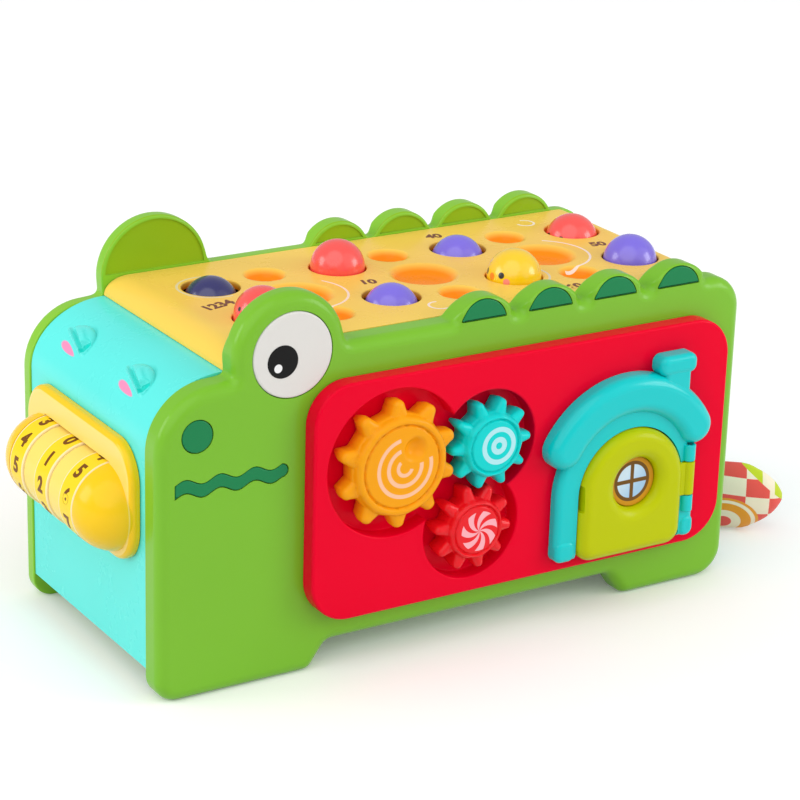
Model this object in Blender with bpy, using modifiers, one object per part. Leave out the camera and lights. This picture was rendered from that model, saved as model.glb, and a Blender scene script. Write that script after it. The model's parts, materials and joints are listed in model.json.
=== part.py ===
"""Activity cube for babies: a crocodile-shaped box with moles on rockers, gears, a door and number rings.

Metres, +Z up, +X from the nose to the tail, -Y towards the side with the gears and the house.
The origin is the centre of the whole toy's footprint, on the surface it stands on.
"""

import math

import bmesh
import bpy
from mathutils import Matrix, Vector

# Side panels
PANEL_LENGTH = 0.300
PANEL_HEIGHT = 0.150
CORE_WIDTH = 0.114
PANEL_THICKNESS = 0.013
FAR_PANEL_THICKNESS = 0.0095
SNOUT_AHEAD = 0.0019
PANEL_WALL = 0.004
PANEL_RIM = 0.006
EDGE_ROUND = 0.0040
BELLY_RISE = 0.0122
FRONT_FOOT_LENGTH = 0.0725
REAR_FOOT_LENGTH = 0.058
FOOT_SLANT = 0.0087
FOOT_CORNER = 0.006
FRONT_TOE_ROUND = 0.0100
REAR_TOE_ROUND = 0.0145
RUMP_ROUND = 0.016
SNOUT_DROP = 0.0090
SNOUT_SLOPE = 0.0025
SNOUT_ROUND = 0.0285

# Fits
FIT_GAP = 0.0003
RUN_GAP = 0.0005
OVERRUN = 0.002
WELD_GAP = 0.000005

# Face and scutes
EYE_FROM_NOSE = 0.061
EYE_BELOW_TOP = 0.001
EYE_BUMP_RADIUS = 0.0270
EYE_RADIUS = 0.019
PUPIL_RADIUS = 0.0073
PUPIL_FORWARD = 0.0050
PUPIL_DROP = 0.0022
INLAY_THICKNESS = 0.0017
INLAY_PROUD = 0.0002
NOSTRIL_FROM_NOSE = 0.0162
NOSTRIL_BELOW_TOP = 0.0297
NOSTRIL_RADIUS = 0.0071
MOUTH_START = 0.0060
MOUTH_END = 0.0594
MOUTH_BELOW_TOP = 0.0526
MOUTH_WIDTH = 0.0057
MOUTH_WAVE = 0.00145
MOUTH_WAVELENGTH = 0.0164
MOUTH_CREST = 0.0106
SCUTE_COUNT = 4
SCUTE_FIRST = 0.158
SCUTE_PITCH = 0.0352
SCUTE_RADIUS = 0.017
SCUTE_RISE = 0.0102
SCUTE_INLAY_RADIUS = 0.0116
SCUTE_INLAY_BASE = 0.0003
SCUTE_INLAY_RISE = 0.0088
SCUTE_INLAY_CORNER = 0.0010
SCUTE_INLAY_AHEAD = 0.0012
SCUTE_INLAY_CUT = 0.0013

# Nose shell, deck, rear and base
SHELL_WALL = 0.0025
SHELL_SET_BACK = 0.0008
SHELL_BEND = 0.0285
DECK_WALL = 0.004
DECK_FROM_NOSE = 0.035
DECK_LIP_RISE = 0.008
DECK_LIP_RUN = 0.012
DECK_REAR_ROUND = 0.0075
REAR_SET_BACK = 0.0093
REAR_WALL = 0.003
BASE_WALL = 0.003
BASE_LIFT = 0.0003

# Moles, their holes and the dimples of the deck
MOLE_COLUMNS = 4
MOLE_FIRST = 0.0719
MOLE_PITCH = 0.0656
MOLE_ROW_OFFSET = 0.0238
MOLE_RADIUS = 0.0126
MOLE_HOLE_GAP = 0.0008
MOLE_STROKE = 0.0092
MOLE_MEAN_RISE = 0.0095
MOLE_SKIRT = 0.0058
MOLE_FLANGE_OUT = 0.0024
MOLE_FLANGE_THICKNESS = 0.0018
STEM_RADIUS = 0.004
LARGE_DIMPLE_RADIUS = 0.0165
SMALL_DIMPLE_RADIUS = 0.0100
DIMPLE_DEPTH = 0.0028
DIMPLE_SHIFT = 0.0033

# Rockers under the deck
PIVOT_BELOW_GUIDE = 0.0240
ROCKER_RISE = 0.003
ROCKER_WIDTH = 0.010
ROCKER_OVERHANG = 0.0055
ROCKER_HUB_RADIUS = 0.006
ROCKER_HUB_LENGTH = 0.014
ROCKER_REST_GAP = 0.0004
SHAFT_RADIUS = 0.0025
GUIDE_BELOW_FLANGE = 0.0197
GUIDE_WALL = 0.003
GUIDE_NOSE_GAP = 0.0015
LUG_THICKNESS = 0.004
LUG_WIDTH = 0.014
LUG_BELOW_SHAFT = 0.006

# Activity plates on the two sides
PLATE_FROM_NOSE = 0.0674
PLATE_LENGTH = 0.2201
PLATE_BELOW_TOP = 0.0151
PLATE_HEIGHT = 0.1094
PLATE_PROUD = 0.0085
PLATE_CORNER = 0.019
PLATE_EDGE_ROUND = 0.0012
PLATE_WALL = 0.0025
PLATE_NECK_INSET = 0.0026
PLATE_NECK_DEPTH = 0.0030
ORANGE_POCKET_MARGIN = 0.0044
CYAN_POCKET_MARGIN = 0.0034
RED_POCKET_MARGIN = 0.0044

# Gears
GEAR_TEETH = 10
GEAR_THICKNESS = 0.0114
HUB_PROUD = 0.0024
GEAR_BACK_GAP = 0.0006
GEAR_EDGE_ROUND = 0.0011
ORANGE_ALONG = 0.0408
ORANGE_RISE = 0.0691
ORANGE_ROOT = 0.0237
ORANGE_TIP = 0.0296
ORANGE_ROOT_HALF_TOOTH = 0.0044
ORANGE_TIP_HALF_TOOTH = 0.0030
CYAN_DISTANCE = 0.0477
CYAN_RISE = 0.0011
CYAN_ROOT = 0.0153
CYAN_TIP = 0.0210
CYAN_ROOT_HALF_TOOTH = 0.0031
CYAN_TIP_HALF_TOOTH = 0.0020
RED_DISTANCE = 0.0391
RED_FORWARD = 0.0078
RED_ROOT = 0.0144
RED_TIP = 0.0202
RED_ROOT_HALF_TOOTH = 0.0033
RED_TIP_HALF_TOOTH = 0.0024
GEAR_SHAFT_RADIUS = 0.004
GEAR_SHAFT_PAST = 0.0002
GEAR_SCREW_RADIUS = 0.0015
GEAR_SCREW_LENGTH = 0.009
GEAR_WASHER_RADIUS = 0.007
GEAR_WASHER_THICKNESS = 0.002

# House and door
HOUSE_FROM_REAR = 0.0580
HOUSE_WALL_DEPTH = 0.0060
HOUSE_HALF_WIDTH = 0.0389
HOUSE_RISE = 0.0063
ROOF_DEPTH = 0.0100
ROOF_RADIUS = 0.0506
ROOF_THICKNESS = 0.0180
ROOF_RISE = 0.0405
ROOF_END_ANGLE = 30.0
ROOF_EDGE_ROUND = 0.0030
POST_CORNER = 0.0050
CHIMNEY_FORWARD = 0.0240
CHIMNEY_HALF_WIDTH = 0.0072
CHIMNEY_RISE = 0.0880
CHIMNEY_CAP_HALF_WIDTH = 0.0103
CHIMNEY_CAP_HEIGHT = 0.0095
CHIMNEY_DEPTH = 0.0085
DOOR_ALONG = 0.0014
DOOR_HALF_WIDTH = 0.0286
DOOR_RISE = 0.0049
DOOR_CORNER = 0.0080
DOOR_ARCH_RISE = 0.0370
DOOR_THICKNESS = 0.0078
DOOR_BACK_GAP = 0.0020
DOOR_SIDE_GAP = 0.0010
DOOR_EDGE_ROUND = 0.0034
DOOR_DISH_RADIUS = 0.0146
DOOR_HOLE_RADIUS = 0.0123
DOOR_HOLE_RISE = 0.0390
DOOR_DISH_DEPTH = 0.0024
WINDOW_FORWARD = 0.0018
WINDOW_SUNK = 0.0048
WINDOW_FLOOR = 0.0017
NOTCH_RISE = 0.0363
NOTCH_HALF_LENGTH = 0.0064
NOTCH_DEPTH = 0.0016
HINGE_OUT = 0.0040
KNUCKLE_RADIUS = 0.0030
KNUCKLE_RISE = 0.0278
KNUCKLE_LENGTH = 0.0161
LUG_LENGTH = 0.0080
HINGE_GAP = 0.0004
PIN_RADIUS = 0.0014
DOORWAY_HALF_WIDTH = 0.0215
DOORWAY_RISE = 0.0145
DOORWAY_DEPTH = 0.0085

# Number rings in the nose
BARREL_RADIUS = 0.0198
BARREL_BELOW_TOP = 0.0700
BARREL_OUT = 0.0038
BARREL_HALF_LENGTH = 0.0320
RING_WIDTH = 0.0136
RING_STEP_DOWN = 0.0007
RING_AXLE_RADIUS = 0.003
BEZEL_HALF_LENGTH = 0.0520
BEZEL_BELOW_BARREL = 0.0230
BEZEL_HEIGHT = 0.0550
BEZEL_CORNER = 0.0175
BEZEL_PROUD = 0.0062
BEZEL_EDGE_ROUND = 0.0026
BEZEL_LAND = 0.0025

# Padded tail
TAIL_OUT = 0.0580
TAIL_SIDE = 0.0435
TAIL_TAB_HEIGHT = 0.024
TAIL_TAB_THICKNESS = 0.0024
TAIL_TAB_BOTTOM = 0.018
TAIL_TAB_LENGTH = 0.010
TAIL_HEIGHT = 0.0360
TAIL_THICKNESS = 0.0150
TAIL_GROUND_GAP = 0.0006
TAIL_NECK = 0.0009
TAIL_CROWN_POWER = 1.25
TAIL_SEAM_POWER = 0.85
ANCHOR_LENGTH = 0.0110
ANCHOR_HALF_WIDTH = 0.0050
ANCHOR_MARGIN = 0.0025

# Steps of round outlines
FINE_STEPS = 28
ROUND_STEPS = 18
MOLE_STEPS = 16
SMALL_STEPS = 12
CORNER_STEPS = 4
MOUTH_STEPS = 22
DISH_STEPS = 2

# Places that follow from the sizes above
NEAR_REACH = PLATE_PROUD + ROOF_DEPTH
FAR_REACH = PLATE_PROUD
NOSE_REACH = BARREL_OUT + BARREL_RADIUS
OVERALL_LENGTH = NOSE_REACH + PANEL_LENGTH + TAIL_OUT
BODY_WIDTH = PANEL_THICKNESS + CORE_WIDTH + FAR_PANEL_THICKNESS
OVERALL_WIDTH = NEAR_REACH + BODY_WIDTH + FAR_REACH
NOSE_X = NOSE_REACH - OVERALL_LENGTH / 2
TAIL_X = NOSE_X + PANEL_LENGTH
NEAR_Y = NEAR_REACH - OVERALL_WIDTH / 2
FAR_Y = NEAR_Y + BODY_WIDTH
INNER_NEAR_Y = NEAR_Y + PANEL_THICKNESS
INNER_FAR_Y = FAR_Y - FAR_PANEL_THICKNESS
MIDDLE_Y = (INNER_NEAR_Y + INNER_FAR_Y) / 2
SNOUT_X = NOSE_X - SNOUT_AHEAD
PLATE_FRONT_Y = NEAR_Y - PLATE_PROUD
EYE_X = NOSE_X + EYE_FROM_NOSE
EYE_Z = PANEL_HEIGHT - EYE_BELOW_TOP
MOLE_CENTRE_LOWEST = PANEL_HEIGHT + MOLE_MEAN_RISE - MOLE_RADIUS - MOLE_STROKE / 2
FLANGE_LOWEST = MOLE_CENTRE_LOWEST - MOLE_SKIRT - MOLE_FLANGE_THICKNESS
GUIDE_TOP = FLANGE_LOWEST - GUIDE_BELOW_FLANGE
GUIDE_HEIGHT = GUIDE_TOP - GUIDE_WALL
PIVOT_HEIGHT = GUIDE_HEIGHT - PIVOT_BELOW_GUIDE
PLATE_X = NOSE_X + PLATE_FROM_NOSE
PLATE_BOTTOM = PANEL_HEIGHT - PLATE_BELOW_TOP - PLATE_HEIGHT
ORANGE_X = PLATE_X + ORANGE_ALONG
ORANGE_HEIGHT = PLATE_BOTTOM + ORANGE_RISE
HOUSE_X = PLATE_X + PLATE_LENGTH - HOUSE_FROM_REAR
DOOR_X = HOUSE_X + DOOR_ALONG
HOUSE_BOTTOM = PLATE_BOTTOM + HOUSE_RISE
ROOF_HEIGHT = PLATE_BOTTOM + ROOF_RISE
CHIMNEY_TOP = PLATE_BOTTOM + CHIMNEY_RISE
DOOR_BOTTOM = PLATE_BOTTOM + DOOR_RISE
DOOR_ARCH_HEIGHT = PLATE_BOTTOM + DOOR_ARCH_RISE
DOOR_HOLE_HEIGHT = PLATE_BOTTOM + DOOR_HOLE_RISE
NOTCH_HEIGHT = PLATE_BOTTOM + NOTCH_RISE
KNUCKLE_BOTTOM = PLATE_BOTTOM + KNUCKLE_RISE
DOORWAY_BOTTOM = PLATE_BOTTOM + DOORWAY_RISE
BARREL_HEIGHT = PANEL_HEIGHT - BARREL_BELOW_TOP
BEZEL_BOTTOM = BARREL_HEIGHT - BEZEL_BELOW_BARREL
HINGE_X = DOOR_X + DOOR_HALF_WIDTH + HINGE_OUT
DOOR_BACK_Y = PLATE_FRONT_Y - DOOR_BACK_GAP
DOOR_FRONT_Y = DOOR_BACK_Y - DOOR_THICKNESS
HINGE_Y = (DOOR_BACK_Y + DOOR_FRONT_Y) / 2
BARREL_X = NOSE_X - BARREL_OUT
BASE_Z = BELLY_RISE + BASE_LIFT
REAR_OUTER_X = TAIL_X - REAR_SET_BACK

GREEN = (0.20, 0.50, 0.035)
INLAY_GREEN = (0.014, 0.270, 0.095)
CYAN = (0.13, 0.84, 0.77)
DECK_ORANGE = (1.0, 0.58, 0.075)
PLATE_RED = (0.88, 0.002, 0.030)
GEAR_ORANGE = (1.0, 0.45, 0.015)
GEAR_CYAN = (0.008, 0.57, 0.55)
GEAR_RED = (0.93, 0.016, 0.030)
HOUSE_CYAN = (0.027, 0.62, 0.62)
DOOR_LIME = (0.56, 0.62, 0.0)
OCHRE = (0.58, 0.31, 0.008)
NAVY = (0.027, 0.023, 0.125)
CORAL = (1.0, 0.115, 0.092)
PURPLE = (0.20, 0.125, 0.69)
CHICK_YELLOW = (1.0, 0.69, 0.015)
ROLLER_YELLOW = (1.0, 0.75, 0.03)
BAND_YELLOW = (1.0, 0.79, 0.23)
EYE_WHITE = (0.80, 0.78, 0.74)
PUPIL_BLACK = (0.012, 0.012, 0.012)
STEEL = (0.60, 0.60, 0.62)
INNER_WHITE = (0.75, 0.75, 0.73)
TAIL_CREAM = (0.85, 0.62, 0.42)

parts = None
cutters = None


# Scene and materials
def empty_scene():
    """Removes what the scene holds and makes the two collections."""
    global parts, cutters
    for old in list(bpy.data.objects):
        bpy.data.objects.remove(old, do_unlink=True)
    parts = bpy.data.collections.new("activity_cube")
    cutters = bpy.data.collections.new("cutters")
    bpy.context.scene.collection.children.link(parts)
    bpy.context.scene.collection.children.link(cutters)


def material_for(name, colour, roughness, metallic):
    """A Principled material of the part's own."""
    material = bpy.data.materials.new(name)
    material.use_nodes = True
    shader = material.node_tree.nodes["Principled BSDF"]
    shader.inputs["Base Color"].default_value = (*colour, 1.0)
    shader.inputs["Roughness"].default_value = roughness
    shader.inputs["Metallic"].default_value = metallic
    return material


def finish(piece, colour, roughness=0.28, metallic=0.0):
    """Gives a piece its material and puts it among the parts."""
    piece.data.materials.clear()
    piece.data.materials.append(material_for(piece.name, colour, roughness, metallic))
    parts.objects.link(piece)
    return piece


def as_cutter(piece):
    """Puts a piece among the cutters, where it only guides a Boolean."""
    cutters.objects.link(piece)
    piece.hide_render = True
    piece.display_type = "WIRE"
    return piece


def combine(piece, other, operation):
    """Adds a Boolean with another solid, which becomes a cutter."""
    if other.name not in cutters.objects:
        as_cutter(other)
    step = piece.modifiers.new(operation.lower(), "BOOLEAN")
    step.operation = operation
    step.object = other
    return piece


def cut(piece, *others):
    """Cuts other solids from a piece."""
    for other in others:
        combine(piece, other, "DIFFERENCE")
    return piece


def join(piece, *others):
    """Joins other solids to a piece."""
    for other in others:
        combine(piece, other, "UNION")
    return piece


# Outlines
def arc(centre, radius, start, end, steps):
    """Points of an arc, from one angle in degrees to another."""
    points = []
    for step in range(steps + 1):
        angle = math.radians(start + (end - start) * step / steps)
        points.append((centre[0] + radius * math.cos(angle), centre[1] + radius * math.sin(angle)))
    return points


def rounded(corners, steps=CORNER_STEPS):
    """A closed outline whose corners (a, b, radius) are replaced by arcs that touch both sides."""
    points = []
    for index, (a, b, radius) in enumerate(corners):
        here = Vector((a, b))
        before = Vector(corners[index - 1][:2])
        after = Vector(corners[(index + 1) % len(corners)][:2])
        if radius == 0:
            points.append((a, b))
            continue
        to_before = (before - here).normalized()
        to_after = (after - here).normalized()
        half = to_before.angle(to_after) / 2
        centre = here + (to_before + to_after).normalized() * (radius / math.sin(half))
        first = here + to_before * (radius / math.tan(half)) - centre
        last = here + to_after * (radius / math.tan(half)) - centre
        turn = first.angle_signed(last)
        for step in range(steps + 1):
            part = turn * step / steps
            spoke = Matrix.Rotation(-part, 2) @ first
            points.append(tuple(centre + spoke))
    return points


def rounded_box(low, high, radius, steps=CORNER_STEPS):
    """Outline of a rectangle with round corners."""
    corners = [(low[0], low[1]), (high[0], low[1]), (high[0], high[1]), (low[0], high[1])]
    return rounded([(a, b, radius) for a, b in corners], steps)


def arch(centre, half_width, bottom, spring, steps=SMALL_STEPS, corner=0):
    """Outline of a door: straight sides under a half circle, with square or round lower corners."""
    left = (centre - half_width, bottom, corner)
    right = (centre + half_width, bottom, corner)
    foot = rounded([(centre - half_width, spring, 0), left, right, (centre + half_width, spring, 0)])
    return foot[1:-1] + arc((centre, spring), half_width, 0, 180, steps)


# Solids
AXES = {
    "X": Matrix(((0, 0, 1), (1, 0, 0), (0, 1, 0))),
    "Y": Matrix(((1, 0, 0), (0, 0, -1), (0, 1, 0))),
    "Z": Matrix.Identity(3),
}


def mesh_from_curve(curve_object, matrix):
    """The curve's mesh with its caps welded, each cap one face, moved by a matrix."""
    holder = bpy.context.scene.collection
    holder.objects.link(curve_object)
    graph = bpy.context.evaluated_depsgraph_get()
    mesh = bpy.data.meshes.new_from_object(curve_object.evaluated_get(graph))
    curve = curve_object.data
    bpy.data.objects.remove(curve_object)
    bpy.data.curves.remove(curve)
    work = bmesh.new()
    work.from_mesh(mesh)
    bmesh.ops.remove_doubles(work, verts=work.verts, dist=WELD_GAP)
    bmesh.ops.dissolve_limit(work, angle_limit=math.radians(1), verts=work.verts, edges=work.edges)
    bmesh.ops.recalc_face_normals(work, faces=work.faces)
    work.transform(matrix)
    work.to_mesh(mesh)
    work.free()
    return mesh


def prism(name, outline, low, high, axis):
    """A flat outline as a 2D curve, extruded along X, Y or Z from low to high."""
    curve = bpy.data.curves.new(name, "CURVE")
    curve.dimensions = "2D"
    curve.fill_mode = "BOTH"
    curve.extrude = (high - low) / 2
    spline = curve.splines.new("POLY")
    spline.points.add(len(outline) - 1)
    for point, (a, b) in zip(spline.points, outline):
        point.co = (a, b, 0, 1)
    spline.use_cyclic_u = True
    turn = AXES[axis]
    shift = Vector([(low + high) / 2 if letter == axis else 0 for letter in "XYZ"])
    matrix = Matrix.Translation(shift) @ turn.to_4x4()
    mesh = mesh_from_curve(bpy.data.objects.new(name, curve), matrix)
    mesh.name = name
    return bpy.data.objects.new(name, mesh)


def disc(name, centre, radius, low, high, axis, steps=ROUND_STEPS, top_radius=None):
    """A cylinder or cone along an axis, from low to high; its centre gives the two other places."""
    work = bmesh.new()
    end_radius = radius if top_radius is None else top_radius
    bmesh.ops.create_cone(
        work, cap_ends=True, segments=steps, radius1=radius, radius2=end_radius, depth=high - low
    )
    middle = (low + high) / 2
    places = {"X": (middle, *centre), "Y": (centre[0], middle, centre[1]), "Z": (*centre, middle)}
    turn = {"X": Matrix.Rotation(math.pi / 2, 4, "Y"), "Y": Matrix.Rotation(-math.pi / 2, 4, "X")}
    work.transform(Matrix.Translation(places[axis]) @ turn.get(axis, Matrix.Identity(4)))
    mesh = bpy.data.meshes.new(name)
    work.to_mesh(mesh)
    work.free()
    return bpy.data.objects.new(name, mesh)


def ball(name, centre, radius, steps=ROUND_STEPS):
    """A sphere with its poles along Y."""
    work = bmesh.new()
    bmesh.ops.create_uvsphere(work, u_segments=steps, v_segments=steps // 2, radius=radius)
    work.transform(Matrix.Translation(centre) @ Matrix.Rotation(math.pi / 2, 4, "X"))
    mesh = bpy.data.meshes.new(name)
    work.to_mesh(mesh)
    work.free()
    return bpy.data.objects.new(name, mesh)


def block(name, low, high):
    """A box between two corners."""
    work = bmesh.new()
    bmesh.ops.create_cube(work, size=1)
    size = Vector(high) - Vector(low)
    bmesh.ops.scale(work, vec=size, verts=work.verts)
    bmesh.ops.translate(work, vec=(Vector(high) + Vector(low)) / 2, verts=work.verts)
    mesh = bpy.data.meshes.new(name)
    work.to_mesh(mesh)
    work.free()
    return bpy.data.objects.new(name, mesh)


def turned(name, profile, steps):
    """A profile (radius, height), listed from the top down, turned about Z with a Screw modifier."""
    mesh = bpy.data.meshes.new(name)
    points = [(radius, 0, height) for radius, height in profile]
    mesh.from_pydata(points, [(i, i + 1) for i in range(len(points) - 1)], [])
    piece = bpy.data.objects.new(name, mesh)
    screw = piece.modifiers.new("turn", "SCREW")
    screw.axis = "Z"
    screw.steps = steps
    screw.render_steps = steps
    screw.use_merge_vertices = True
    screw.merge_threshold = WELD_GAP
    screw.use_smooth_shade = True
    return piece


def place_on_axis(piece, pivot):
    """Moves a piece's origin to its joint's axis and leaves its shape where it is."""
    piece.data.transform(Matrix.Translation(-Vector(pivot)))
    piece.location = pivot
    return piece


def smooth(piece, angle=40):
    """Shades a piece smooth, with its sharp edges kept."""
    piece.data.shade_smooth()
    piece.data.set_sharp_from_angle(angle=math.radians(angle))
    return piece


def round_rim(piece, face_at, axis, width, segments=2):
    """Rounds the rim of a prism's end face with a Bevel, by edge weights."""
    mesh = piece.data
    index = "XYZ".index(axis)
    weights = mesh.attributes.new("bevel_weight_edge", "FLOAT", "EDGE")
    for edge in mesh.edges:
        ends = [mesh.vertices[vertex].co[index] for vertex in edge.vertices]
        on_face = all(abs(place - face_at) < WELD_GAP for place in ends)
        weights.data[edge.index].value = 1.0 if on_face else 0.0
    bevel = piece.modifiers.new("rim", "BEVEL")
    bevel.limit_method = "WEIGHT"
    bevel.width = width
    bevel.segments = segments
    return piece


# Side panels and what is set into them
def scute_centre(index):
    """How far a scute's middle lies from the nose."""
    return SCUTE_FIRST + SCUTE_PITCH * index


def panel_outline():
    """The crocodile's side: feet, belly, rump, scutes, eye bump and snout."""
    left = NOSE_X
    right = TAIL_X
    top = PANEL_HEIGHT
    snout_top = top - SNOUT_DROP
    toe = SNOUT_X
    feet = rounded(
        [
            (toe, 0, FRONT_TOE_ROUND),
            (left + FRONT_FOOT_LENGTH, 0, FOOT_CORNER),
            (left + FRONT_FOOT_LENGTH + FOOT_SLANT, BELLY_RISE, FOOT_CORNER),
            (right - REAR_FOOT_LENGTH - FOOT_SLANT, BELLY_RISE, FOOT_CORNER),
            (right - REAR_FOOT_LENGTH, 0, FOOT_CORNER),
            (right, 0, REAR_TOE_ROUND),
            (right, top, RUMP_ROUND),
            (left + EYE_FROM_NOSE, top, 0),
            (left + EYE_FROM_NOSE - EYE_BUMP_RADIUS, snout_top, 0),
            (toe, snout_top - SNOUT_SLOPE, SNOUT_ROUND),
        ]
    )
    corner = feet.index((left + EYE_FROM_NOSE, top))
    foot_angle = math.degrees(math.asin((SCUTE_RADIUS - SCUTE_RISE) / SCUTE_RADIUS))
    scutes = []
    for index in reversed(range(SCUTE_COUNT)):
        middle = (left + scute_centre(index), top + SCUTE_RISE - SCUTE_RADIUS)
        scutes += arc(middle, SCUTE_RADIUS, foot_angle, 180 - foot_angle, CORNER_STEPS * 2)
    right_angle = math.degrees(math.asin(EYE_BELOW_TOP / EYE_BUMP_RADIUS))
    left_angle = 180 - math.degrees(math.asin((snout_top - EYE_Z) / EYE_BUMP_RADIUS))
    bump = arc((EYE_X, EYE_Z), EYE_BUMP_RADIUS, right_angle, left_angle, ROUND_STEPS - 2)
    return feet[:corner] + scutes + bump + feet[corner + 2:]


def cavity_outline():
    """Where a side panel is hollow behind its outer wall."""
    left = SNOUT_X + PANEL_RIM
    right = REAR_OUTER_X - REAR_WALL - OVERRUN
    bottom = BELLY_RISE + PANEL_RIM
    top = PANEL_HEIGHT - PANEL_RIM - DECK_WALL
    shoulder = NOSE_X + EYE_FROM_NOSE - EYE_RADIUS
    cheek = top - SNOUT_ROUND
    return rounded(
        [
            (left, bottom, PANEL_RIM),
            (right, bottom, PANEL_RIM),
            (right, top, RUMP_ROUND - PANEL_RIM),
            (shoulder, top, PANEL_RIM),
            (left, cheek, PANEL_RIM),
        ],
        CORNER_STEPS // 2,
    )


def eye_outline(margin):
    """A circle with a margin about the eye."""
    return arc((EYE_X, EYE_Z), EYE_RADIUS + margin, 0, 360, FINE_STEPS)[:-1]


def nostril_outline(margin):
    """A circle with a margin about the nostril."""
    centre = (NOSE_X + NOSTRIL_FROM_NOSE, PANEL_HEIGHT - NOSTRIL_BELOW_TOP)
    return arc(centre, NOSTRIL_RADIUS + margin, 0, 360, ROUND_STEPS)[:-1]


def mouth_outline(margin):
    """A wavy band: two cosine lines, square at the snout and round at the cheek."""
    half = MOUTH_WIDTH / 2 + margin
    start = MOUTH_START - margin
    end = MOUTH_END - MOUTH_WIDTH / 2
    count = MOUTH_STEPS

    def line(distance):
        wave = math.cos(2 * math.pi * (distance - MOUTH_CREST) / MOUTH_WAVELENGTH)
        return PANEL_HEIGHT - MOUTH_BELOW_TOP + MOUTH_WAVE * wave

    places = [start + (end - start) * step / count for step in range(count + 1)]
    lower = [(NOSE_X + place, line(place) - half) for place in places]
    tip = arc((NOSE_X + end, line(end)), half, -90, 90, CORNER_STEPS)[1:-1]
    upper = [(NOSE_X + place, line(place) + half) for place in reversed(places)]
    return lower + tip + upper


def scute_outline(index, margin):
    """A half-round inlay with a flat base."""
    base = PANEL_HEIGHT + SCUTE_INLAY_BASE - margin
    middle = NOSE_X + scute_centre(index) - SCUTE_INLAY_AHEAD
    drop = SCUTE_INLAY_RADIUS - SCUTE_INLAY_RISE
    radius = SCUTE_INLAY_RADIUS + margin
    start = math.degrees(math.asin(drop / radius) + SCUTE_INLAY_CUT / radius)
    centre = (middle, PANEL_HEIGHT + SCUTE_INLAY_BASE - drop)
    cap = arc(centre, radius, start, 180 - start, CORNER_STEPS * 2)
    inset = cap[0][0] - SCUTE_INLAY_CORNER
    return [(2 * middle - inset, base), (inset, base)] + cap


def thickness(side):
    """Thickness of a side panel; the far one is thinner."""
    return PANEL_THICKNESS if side == "near" else FAR_PANEL_THICKNESS


def side_y(side, depth):
    """World Y of a depth measured inwards from a side's outer face."""
    return NEAR_Y + depth if side == "near" else FAR_Y - depth


def set_in(side, name, outline_at, colour):
    """Makes an inlay, and the cutter of the recess that it sits in."""
    floor = INLAY_THICKNESS + FIT_GAP
    ends = sorted((side_y(side, -INLAY_PROUD), side_y(side, INLAY_THICKNESS)))
    inlay = prism(name, outline_at(0), ends[0], ends[1], "Y")
    finish(smooth(inlay), colour)
    ends = sorted((side_y(side, -OVERRUN), side_y(side, floor)))
    return inlay, prism(f"{name}_recess", outline_at(FIT_GAP), ends[0], ends[1], "Y")


def make_side_panel(side):
    """One green side: an outlined slab, hollow inside, with recesses and the plate's opening."""
    outer = side_y(side, 0)
    inner = side_y(side, thickness(side))
    panel = prism(f"{side}_side_panel", panel_outline(), min(outer, inner), max(outer, inner), "Y")
    round_rim(panel, outer, "Y", EDGE_ROUND)
    ends = sorted((side_y(side, PANEL_WALL), side_y(side, thickness(side) + OVERRUN)))
    hollow = prism(f"{side}_hollow", cavity_outline(), ends[0], ends[1], "Y")
    ends = sorted((side_y(side, -OVERRUN), side_y(side, PANEL_WALL + OVERRUN)))
    neck_gap = PLATE_NECK_INSET - FIT_GAP
    opening = prism(f"{side}_opening", plate_outline(neck_gap), ends[0], ends[1], "Y")
    cut(panel, hollow, opening)
    eye, recess = set_in(side, f"{side}_eye", eye_outline, EYE_WHITE)
    cut(panel, recess)
    add_pupil(side, eye)
    cut(panel, set_in(side, f"{side}_nostril", nostril_outline, INLAY_GREEN)[1])
    cut(panel, set_in(side, f"{side}_mouth", mouth_outline, INLAY_GREEN)[1])
    for index in range(SCUTE_COUNT):
        name = f"{side}_scute_{index + 1}"
        cut(panel, set_in(side, name, lambda gap, i=index: scute_outline(i, gap), INLAY_GREEN)[1])
    return finish(smooth(panel), GREEN)


def add_pupil(side, eye):
    """The black pupil, set halfway into the eye's disc."""
    centre = (EYE_X - PUPIL_FORWARD, EYE_Z - PUPIL_DROP)
    depth = INLAY_THICKNESS / 2
    ends = sorted((side_y(side, -INLAY_PROUD * 2), side_y(side, depth)))
    pupil = disc(f"{side}_pupil", centre, PUPIL_RADIUS, ends[0], ends[1], "Y", ROUND_STEPS)
    finish(smooth(pupil), PUPIL_BLACK)
    ends = sorted((side_y(side, -OVERRUN), side_y(side, depth + FIT_GAP)))
    recess = disc(f"{side}_pupil_recess", centre, PUPIL_RADIUS + FIT_GAP, ends[0], ends[1], "Y", ROUND_STEPS)
    cut(eye, recess)


# Nose shell, deck, rear and base
def shell_sides():
    """The two faces of what spans between the side panels."""
    return INNER_NEAR_Y + FIT_GAP, INNER_FAR_Y - FIT_GAP


def nose_profile():
    """The bent nose sheet, seen from the side, with a ledge under the deck's lip."""
    face = SNOUT_X + SHELL_SET_BACK
    end = NOSE_X + DECK_FROM_NOSE - FIT_GAP
    top = PANEL_HEIGHT - DECK_LIP_RISE - FIT_GAP
    run = end - face
    steps = ROUND_STEPS // 2
    ledge = end + DECK_WALL
    outer = [(face, BASE_Z)]
    inner = [(face + SHELL_WALL, BASE_Z)]
    for step in range(steps + 1):
        angle = math.pi / 2 * step / steps
        outer.append((end - run * math.cos(angle), top - SHELL_BEND + SHELL_BEND * math.sin(angle)))
        inner_run = run - SHELL_WALL
        rise = SHELL_BEND - SHELL_WALL
        inner.append((end - inner_run * math.cos(angle), top - SHELL_BEND + rise * math.sin(angle)))
    outer.append((ledge, top))
    inner.append((ledge, top - SHELL_WALL))
    return outer + list(reversed(inner))


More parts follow.
